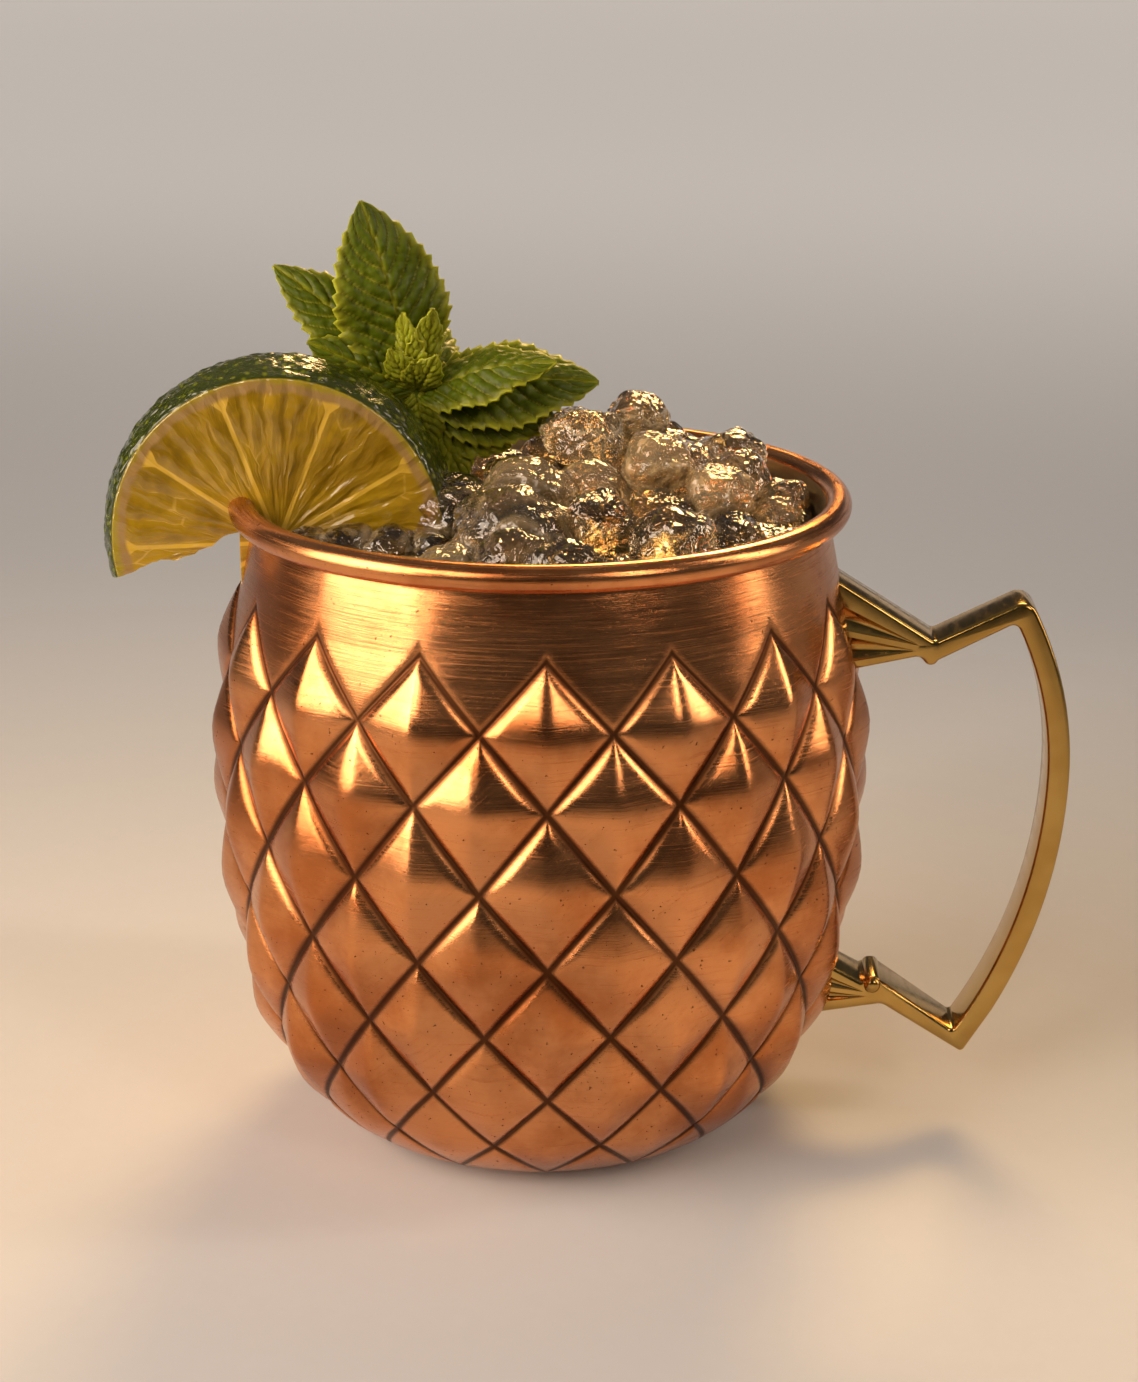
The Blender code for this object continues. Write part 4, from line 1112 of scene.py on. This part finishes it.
def make_wheel(sizes):
    """The whole wheel: two cut faces with flesh relief and a dimpled, bulging rind."""
    face_rings, side_rings, around = 56, 34, 420
    half = LIME_THICKNESS / 2
    profile = [(LIME_RADIUS * i / face_rings, half, 1) for i in range(face_rings)]
    for i in range(side_rings + 1):
        along = 1 - 2 * i / side_rings
        corner = 0.00035 * max(0.0, abs(along) * 12 - 11)
        profile.append((LIME_RADIUS + LIME_BULGE * (1 - along * along) - corner, half * along, 0))
    profile += [(r, -z, -s) for r, z, s in profile[face_rings - 1::-1]]
    wheel, angle, ring = disc_sheet("lime_wheel", around, len(profile) - 1)
    points = []
    for turn, step in zip(angle, ring):
        radius, level, side = profile[step]
        x, y = radius * cos(turn), radius * sin(turn)
        if side:
            level += side * flesh_height(x, y, sizes)
        else:
            # Dimples are about 1.6 mm long round the rind and 0.8 mm across
            spot = Vector((cos(turn) * 15, sin(turn) * 15, level * 1200))
            dimple = noise.noise(spot) + 0.4 * noise.noise(spot * 0.35)
            fade = min(1.0, (1 - abs(level) / half) * 9)
            radius += sizes.rind_relief * dimple * fade
            x, y = radius * cos(turn), radius * sin(turn)
        points.append((x, y, level))
    write_points(wheel, points)
    close_up(wheel)
    wheel.data.transform(lime_matrix())
    return wheel


def notch_cutter():
    """The ring that leaves room for the mug's rim and wall."""
    clear = WALL + 0.00006
    section = [wall_radius(INNER_TOP, -clear)]
    for i in range(9):
        angle = pi - pi * i / 8
        bead = RIM_BEAD + 0.00006
        section.append((RIM_RADIUS + bead * cos(angle), RIM_HEIGHT + bead * sin(angle)))
    section += [(section[-1][0], CUT_FLOOR)]
    lower = [wall_radius(height, -clear) for height in (0.055, 0.066, 0.077)]
    section += [(lower[0][0], CUT_FLOOR)] + lower
    cutter, angle, ring = disc_sheet("notch", 96, len(section))
    loop = section + section[:1]
    radius = np.array([p[0] for p in loop])[ring]
    height = np.array([p[1] for p in loop])[ring]
    write_points(cutter, np.stack((radius * np.cos(angle), radius * np.sin(angle), height), -1))
    close_up(cutter)
    return cutter


def torn_edge():
    """The cut-away part's outline: a torn line under the slice, then far outside it."""
    top, low = Vector(LIME_CUT_TOP), Vector(LIME_CUT_LOW)
    steps = 26
    line = []
    for i in range(steps + 1):
        along = i / steps
        spot = top.lerp(low, along)
        ragged = 0.00055 * noise.noise(Vector((along * 9, 0.3, 0.0)))
        ragged += 0.00025 * noise.noise(Vector((along * 31, 4.3, 0.0)))
        sag = 0.0012 * sin(pi * min(1.0, along * 1.35)) * (1 - along)
        line.append((spot.x, spot.y + (ragged - sag) * sin(pi * along) ** 0.3 if 0 < along < 1
                     else spot.y))
    slope = (top.y - low.y) / (top.x - low.x)
    line += [(CUT_REACH, low.y + slope * (CUT_REACH - low.x)), (CUT_REACH, CUT_FLOOR)]
    return line + [(LIME_STEP, CUT_FLOOR), (LIME_STEP, top.y + 0.0003)]


def make_lime(sizes):
    """The lime slice, cut away outside the mug and notched over the rim."""
    lime = make_wheel(sizes)
    away = plate("lime_away", torn_edge(), -0.03, 0.03)
    away.data.transform(Matrix.Rotation(LIME_TURN, 4, "Z"))
    carve(lime, away)
    carve(lime, notch_cutter())
    return lime


def membranes(tree, centred, radius):
    """Share of the walls between the segments, and of the core that they meet in."""
    # The walls are 0.6 mm thick, and widen into the pith, which rounds the segments' corners
    flare = node(tree, "MapRange", (radius, PITH_INNER - 0.0016, PITH_INNER + 0.0004, 0.0, 0.0010),
                 **SMOOTH)
    wall = None
    for turn in MEMBRANE_ANGLES:
        c, s = cos(radians(turn)), sin(radians(turn))
        off, out = (
            node(tree, "VectorMath", (centred, way), operation="DOT_PRODUCT").outputs["Value"]
            for way in ((s, 0.0, -c), (c, 0.0, s)))
        apart = node(tree, "Math", (off,), operation="ABSOLUTE")
        gap = node(tree, "Math", (apart, flare), **LESS)
        near = node(tree, "MapRange", (gap, 0.00040, 0.00022), **SMOOTH)
        ahead = node(tree, "Math", (out, 0.0), operation="GREATER_THAN")
        line = node(tree, "Math", (near, ahead), **TIMES)
        wall = line if wall is None else node(tree, "Math", (wall, line), **MOST)
    core = node(tree, "MapRange", (radius, 0.0024, 0.0010), **SMOOTH)
    return node(tree, "Math", (node(tree, "Math", (wall, 0.95), **TIMES), core), **MOST)


def lime_material(colours):
    """Fresh lime: waxy green rind with oil glands, dry pith, and wet translucent juice sacs."""
    material, tree, shader, place = new_material("fresh_lime", {
        "Subsurface Weight": 0.25, "Subsurface Radius": (0.004, 0.003, 0.001),
        "Subsurface Scale": 0.5, "IOR": 1.38, "Coat Weight": 0.6, "Coat Roughness": 0.04})
    turned = node(tree, "VectorRotate", {"Vector": place, "Angle": -LIME_TURN},
                  rotation_type="Z_AXIS")
    centred = node(tree, "VectorMath", (turned, LIME_MIDDLE), **LESS)
    across, through, up = node(tree, "SeparateXYZ", (centred,)).outputs
    squares = [node(tree, "Math", (side, 2.0), operation="POWER") for side in (across, up)]
    radius = node(tree, "Math", (node(tree, "Math", squares, **ADD),), operation="SQRT")
    angle = node(tree, "Math", (up, across), operation="ARCTAN2")
    # Sacs are about 0.15 radian wide and 11 mm long, bent a little by a sway of 4 mm
    sway = node(tree, "Math", (grain(tree, place, 260, detail=2.0), 0.7), **TIMES)
    sacs_round = node(tree, "Math", (angle, 6.5), **TIMES)
    polar = node(tree, "CombineXYZ", (node(tree, "Math", (sacs_round, sway), **ADD), *(
        node(tree, "Math", (side, 90.0), **TIMES) for side in (radius, through))))
    sacs = node(tree, "TexVoronoi", {"Vector": polar, "Scale": 1.0})
    seams = node(tree, "TexVoronoi", {"Vector": polar, "Scale": 1.0}, feature="DISTANCE_TO_EDGE")
    finer = node(tree, "VectorMath", (polar, (6.0, 5.0, 3.0)), **TIMES)
    fibres = node(tree, "TexNoise", {"Vector": finer, "Scale": 1.0, "Detail": 2.0})
    # Paler and deeper parts of the flesh are 7 mm wide
    depth = grain(tree, place, 150, detail=3.0)
    juicy = node(tree, "MapRange", (depth, 0.32, 0.68), **SMOOTH)
    glassy = node(tree, "MapRange", (sacs, 0.15, 0.75, 0.0, 0.30), **SMOOTH)
    stringy = node(tree, "MapRange", (fibres, 0.54, 0.74, 0.0, 0.22), **SMOOTH)
    bright = tinted(colours.flesh, 1.35, lift=0.02)
    # Threads are pale sac walls with painted glints of the wet sacs; threads and seams fade out
    # where the sacs narrow towards the core
    apart = node(tree, "MapRange", (radius, 0.004, 0.011), **SMOOTH)
    thin = node(tree, "MapRange", (seams, 0.025, 0.005, 0.0, 0.5), **SMOOTH)
    shown = node(tree, "MapRange", (depth, 0.46, 0.60), **SMOOTH)
    sac_wall_and_glint = node(tree, "Math", (thin, node(tree, "Math", (shown, apart), **TIMES)), **TIMES)
    # The pith's two edges wander by 1.5 mm
    wander = node(tree, "Math", (node(tree, "Math", (depth, 0.5), **LESS), 0.0030), **TIMES)
    uneven = node(tree, "Math", (radius, wander), **ADD)
    pithy = node(tree, "MapRange", (uneven, PITH_INNER - 0.0002, PITH_INNER + 0.0005), **SMOOTH)
    skin = node(tree, "MapRange", (uneven, LIME_RADIUS - 0.0011, LIME_RADIUS - 0.0003), **SMOOTH)
    outside = node(tree, "MapRange", (radius, LIME_RADIUS - 0.00025, LIME_RADIUS - 0.00005),
                   **SMOOTH)
    inside = node(tree, "Math", (1.0, outside), **LESS)
    # Oil glands are 1.3 mm apart, and wrinkles of the rind 3 mm long round it and 1.3 mm across
    spots = node(tree, "TexVoronoi", {"Vector": place, "Scale": 780.0})
    gland = node(tree, "MapRange", (spots, 0.0, 0.42), **SMOOTH)
    dimples = grain(tree, turned, 330, (1.0, 2.4, 1.0), detail=2.0)
    rind_relief = node(tree, "Math", (node(tree, "Math", (gland, 0.15), **TIMES),
                                      node(tree, "Math", (dimples, 2.2), **TIMES)), **ADD)
    parting = node(tree, "MapRange", (seams, 0.0, 0.35), **SMOOTH)
    sac_relief = node(tree, "Math", (node(tree, "Math", (parting, apart), **TIMES),
                                     node(tree, "Math", (fibres, 0.35), **TIMES)), **ADD)
    relief = node(tree, "Math", (node(tree, "Math", (rind_relief, outside), **TIMES),
                                 node(tree, "Math", (sac_relief, inside), **TIMES)), **ADD)
    bump = node(tree, "Bump", {"Height": relief, "Strength": 0.6, "Distance": 0.0004})
    fill(tree, shader, {
        "Base Color": coats(
            tree, colours.flesh_deep, (juicy, colours.flesh), (glassy, bright), (stringy, bright),
            (sac_wall_and_glint, tinted(colours.flesh, 1.7, lift=0.08)),
            (membranes(tree, centred, radius), tinted(colours.pith, 1.9, 2.0, 0.75)),
            (pithy, colours.pith), (skin, tinted(colours.pith, 1.0, 1.25, 0.30)),
            (outside, coats(tree, colours.rind_light, (gland, colours.rind)))),
        "Roughness": node(tree, "MapRange", (outside, 0.0, 1.0, 0.18, 0.24), **SMOOTH),
        "Normal": bump, "Coat Normal": bump})
    return material


class MULE_OT_lime(bpy.types.Operator):
    """Add the lime slice over the rim"""

    bl_idname = "mule.add_lime"
    bl_label = "Lime slice"

    def execute(self, context):
        lime = make_lime(context.scene.mule_sizes)
        lime.data.materials.append(lime_material(context.scene.mule_colours))
        finish_piece(lime, "lime", "lime_slice", sharp=radians(50))
        return {"FINISHED"}


# Mint sprig

def leaf_point(along, across, row, sizes, seed):
    """A place on a leaf, with its vein and edge shares; across runs from edge to edge."""
    foot, tip = Vector(row[0]) * MM, Vector(row[1]) * MM
    facing = Vector(row[2]).normalized()
    half_width, fold, droop = row[3] * MM, row[4], row[5] * MM
    axis = tip - foot
    normal = (facing - axis * facing.dot(axis) / axis.length_squared).normalized()
    side = axis.cross(normal).normalized()
    swell = sin(pi * along ** 0.82) ** 0.8 if 0 < along < 1 else 0.0
    share = half_width / (8.2 * MM)
    reach_out = abs(across)
    # Teeth are 1.9 mm long and lean towards the tip
    bite = (along * round(axis.length / 0.0019) + 0.25 * across) % 1.0
    tooth = sizes.leaf_tooth * (0.4 + 0.6 * share) * (bite ** 1.4 - 0.4) * reach_out ** 6
    width = max(half_width * swell, 0.0003)
    reach = width * across + (tooth if across > 0 else -tooth) * min(1.0, swell * 1.6)
    # Side veins leave the midrib in turn left and right, and small ones cross between them
    veins = 6 + round(5 * share)
    phase = (along - 0.27 * reach_out ** 1.2) * veins + (0.4 if across > 0 else 0.0) + 0.12 * seed
    between = phase % 1.0
    nearest = min(between, 1 - between)
    vein = max(0.0, 1 - nearest / 0.13) * min(1.0, (1 - reach_out) * 5)
    rib = max(0.0, 1 - reach_out * width / 0.00045)
    cross = reach_out * width / (0.0013 + 0.0009 * share) + 0.5 * (int(phase) % 2)
    puff = sin(pi * between) ** 0.6 * (0.55 + 0.45 * abs(sin(pi * cross)) ** 0.5)
    puff *= (1 - reach_out ** 6) * (1 - rib)
    wrinkle = noise.noise(Vector((along * 30 * share, across * 15, seed * 3.1)))
    quilt = sizes.leaf_quilt * (0.35 + 0.65 * share) * swell * (puff - 0.4 + 0.4 * wrinkle)
    arch = droop * sin(pi * along)
    ripple = 0.08 * width * reach_out * sin(along * 17 + 2 * across)
    lift = arch - fold * abs(reach) * (1 - 0.35 * reach_out) + ripple + quilt - 0.0003 * rib
    spot = foot + axis * along + side * reach + normal * lift
    return spot, max(vein * 0.85, rib), reach_out ** 9, 1 - puff


def make_leaf(row, index, sizes):
    """One leaf: quilted between its veins, with a toothed edge."""
    length = (Vector(row[1]) - Vector(row[0])).length
    rows, columns = int(30 + length * 3.4), 36
    leaf = primitive("leaf", bpy.ops.mesh.primitive_grid_add, x_subdivisions=columns,
                     y_subdivisions=rows, size=2)
    flat = read_points(leaf)
    made = [leaf_point((y + 1) / 2, x, row, sizes, index) for x, y, _ in flat]
    write_points(leaf, [m[0] for m in made])
    write_attribute(leaf, "vein", [m[1] for m in made])
    write_attribute(leaf, "rim", [m[2] for m in made])
    write_attribute(leaf, "hollow", [m[3] for m in made])
    write_attribute(leaf, "young_and_lit", [1.0 if index in YOUNG_AND_LIT_LEAVES else 0.0] * len(made))
    modify(leaf, "SOLIDIFY", thickness=LEAF_THICKNESS, offset=0.0)
    return leaf


def make_stem():
    """The sprig's stem, which goes down into the drink."""
    foot, top = Vector(STEM_FOOT), Vector(STEM_TOP)
    stem = primitive("stem", bpy.ops.mesh.primitive_cylinder_add, vertices=24, radius=STEM_RADIUS,
                     depth=(top - foot).length)
    edit(stem, (bpy.ops.mesh.subdivide, {"number_cuts": 2}))
    turn = (top - foot).to_track_quat("Z", "Y").to_matrix().to_4x4()
    stem.data.transform(Matrix.Translation((foot + top) / 2) @ turn)
    return stem


def make_mint(sizes):
    """The sprig: its leaves and its bud on one stem."""
    parts = [make_leaf(row, index, sizes) for index, row in enumerate(LEAVES + BUD_LEAVES)]
    return join("mint_leaves", parts + [make_stem()])


def mint_material(colours):
    """Spearmint leaf: a dull blade with painted shade in its hollows, light veins, and painted rim
    light on its edges.
    """
    material, tree, shader, place = new_material("mint_leaf", {
        "Roughness": 0.38, "Specular IOR Level": 0.16, "Subsurface Weight": 0.15,
        "Subsurface Radius": (0.001, 0.002, 0.0004), "Subsurface Scale": 0.4})
    vein, rim, hollow, young_and_lit = (node(tree, "Attribute", attribute_name=name).outputs["Fac"]
                                for name in ("vein", "rim", "hollow", "young_and_lit"))
    # The blade's cells are 1.1 mm wide, coarser than real so that they show, and patches 6 mm
    cells = grain(tree, place, 900, detail=3.0)
    patches = node(tree, "MapRange", (grain(tree, place, 170, detail=3.0), 0.35, 0.68), **SMOOTH)
    # Painted shade: the blade darkens in the hollows between its veins, and the specks of its cells
    # darken it too
    deep = node(tree, "MapRange", (hollow, 0.25, 0.85, 0.0, 0.85), **SMOOTH)
    specks = node(tree, "MapRange", (cells, 0.52, 0.72, 0.0, 0.35), **SMOOTH)
    # Veins are paler, and the edges get painted rim light in the vein colour
    light = node(tree, "Math", (node(tree, "Math", (vein, 0.6), **TIMES),
                                node(tree, "Math", (rim, 0.7), **TIMES)), **MOST)
    fill(tree, shader, {
        "Base Color": coats(
            tree, colours.leaf, (patches, tinted(colours.leaf, 1.35)),
            # Young leaves are paler, and the low leaves in shade are lightened the same way as
            # painted light
            (node(tree, "Math", (young_and_lit, 0.35), **TIMES), colours.vein),
            (node(tree, "Math", (deep, specks), **ADD), colours.leaf_shade_and_specks),
            (light, colours.vein)),
        "Normal": node(tree, "Bump", {"Height": cells, "Strength": 0.5, "Distance": 0.0002})})
    return material


class MULE_OT_mint(bpy.types.Operator):
    """Add the mint sprig"""

    bl_idname = "mule.add_mint"
    bl_label = "Mint sprig"

    def execute(self, context):
        mint = make_mint(context.scene.mule_sizes)
        mint.data.materials.append(mint_material(context.scene.mule_colours))
        finish_piece(mint, "mint", "mint_sprig")
        return {"FINISHED"}


# Stage

def floor_material(colours):
    """Matt paper: pale, with a hardly visible tooth."""
    material, tree, shader, place = new_material("matt_paper", {
        "Roughness": 0.9, "Specular IOR Level": 0.0})
    # The tooth is 3 mm wide, coarser than real
    tooth = grain(tree, place, 300, detail=2.0)
    fill(tree, shader, {
        "Base Color": coats(tree, colours.floor, (tooth, tinted(colours.floor, 0.97)))})
    return material


def add_panel(name, place, target, width, height, power, code, spread):
    """A soft panel that faces a point, with its light kept within spread degrees."""
    light = bpy.data.lights.new(name, "AREA")
    light.shape = "RECTANGLE"
    light.size, light.size_y = width, height
    light.energy = power
    light.spread = radians(spread)
    light.color = linear(code)
    lamp = bpy.data.objects.new(name, light)
    bpy.context.scene.collection.objects.link(lamp)
    lamp.location = place
    lamp.rotation_euler = (Vector(target) - Vector(place)).to_track_quat("-Z", "Y").to_euler()


def set_world(strength, code):
    """An even backdrop of soft light."""
    world = bpy.data.worlds.new("studio")
    world.use_nodes = True
    fill(world.node_tree, world.node_tree.nodes["Background"],
         {"Color": linear(code), "Strength": strength})
    bpy.context.scene.world = world


class MULE_OT_stage(bpy.types.Operator):
    """Add the floor, the soft studio lights and the camera"""

    bl_idname = "mule.add_stage"
    bl_label = "Studio stage"

    def execute(self, context):
        floor = primitive("floor", bpy.ops.mesh.primitive_plane_add, size=FLOOR_SIZE)
        floor.data.materials.append(floor_material(context.scene.mule_colours))
        for panel in PANELS:
            add_panel(*panel)
        set_world(BACKDROP_STRENGTH, BACKDROP)
        context.scene.view_settings.view_transform = "Standard"
        camera = bpy.data.cameras.new("camera")
        camera.lens = CAMERA_LENS
        camera.sensor_width = SENSOR_WIDTH
        eye = bpy.data.objects.new("camera", camera)
        context.scene.collection.objects.link(eye)
        eye.location = CAMERA_PLACE
        eye.rotation_euler = (CAMERA_PITCH, 0.0, CAMERA_TURN)
        context.scene.camera = eye
        return {"FINISHED"}


OPERATORS = (MULE_OT_mug, MULE_OT_handle, MULE_OT_drink, MULE_OT_ice, MULE_OT_lime,
             MULE_OT_mint, MULE_OT_stage)


class MULE_PT_panel(bpy.types.Panel):
    """Lists the sizes, the colours and the pieces"""

    bl_idname = "MULE_PT_panel"
    bl_label = "Moscow mule"
    bl_space_type = "VIEW_3D"
    bl_region_type = "UI"
    bl_category = "Mule"

    def draw(self, context):
        for group in (context.scene.mule_sizes, context.scene.mule_colours):
            box = self.layout.box()
            for name in group.__annotations__:
                box.prop(group, name)
        for operator in OPERATORS:
            self.layout.operator(operator.bl_idname)


CLASSES = (MuleSizes, MuleColours, *OPERATORS, MULE_PT_panel)


def register():
    """Register the classes and hang the settings on the scene."""
    for each in CLASSES:
        bpy.utils.register_class(each)
    bpy.types.Scene.mule_sizes = bpy.props.PointerProperty(type=MuleSizes)
    bpy.types.Scene.mule_colours = bpy.props.PointerProperty(type=MuleColours)


def unregister():
    """Undo register."""
    del bpy.types.Scene.mule_colours
    del bpy.types.Scene.mule_sizes
    for each in reversed(CLASSES):
        bpy.utils.unregister_class(each)


def main():
    register()
    bpy.ops.mule.add_mug()
    bpy.ops.mule.add_handle()
    bpy.ops.mule.add_drink()
    bpy.ops.mule.add_ice()
    bpy.ops.mule.add_lime()
    bpy.ops.mule.add_mint()
    bpy.ops.mule.add_stage()


if __name__ == "__main__":
    main()
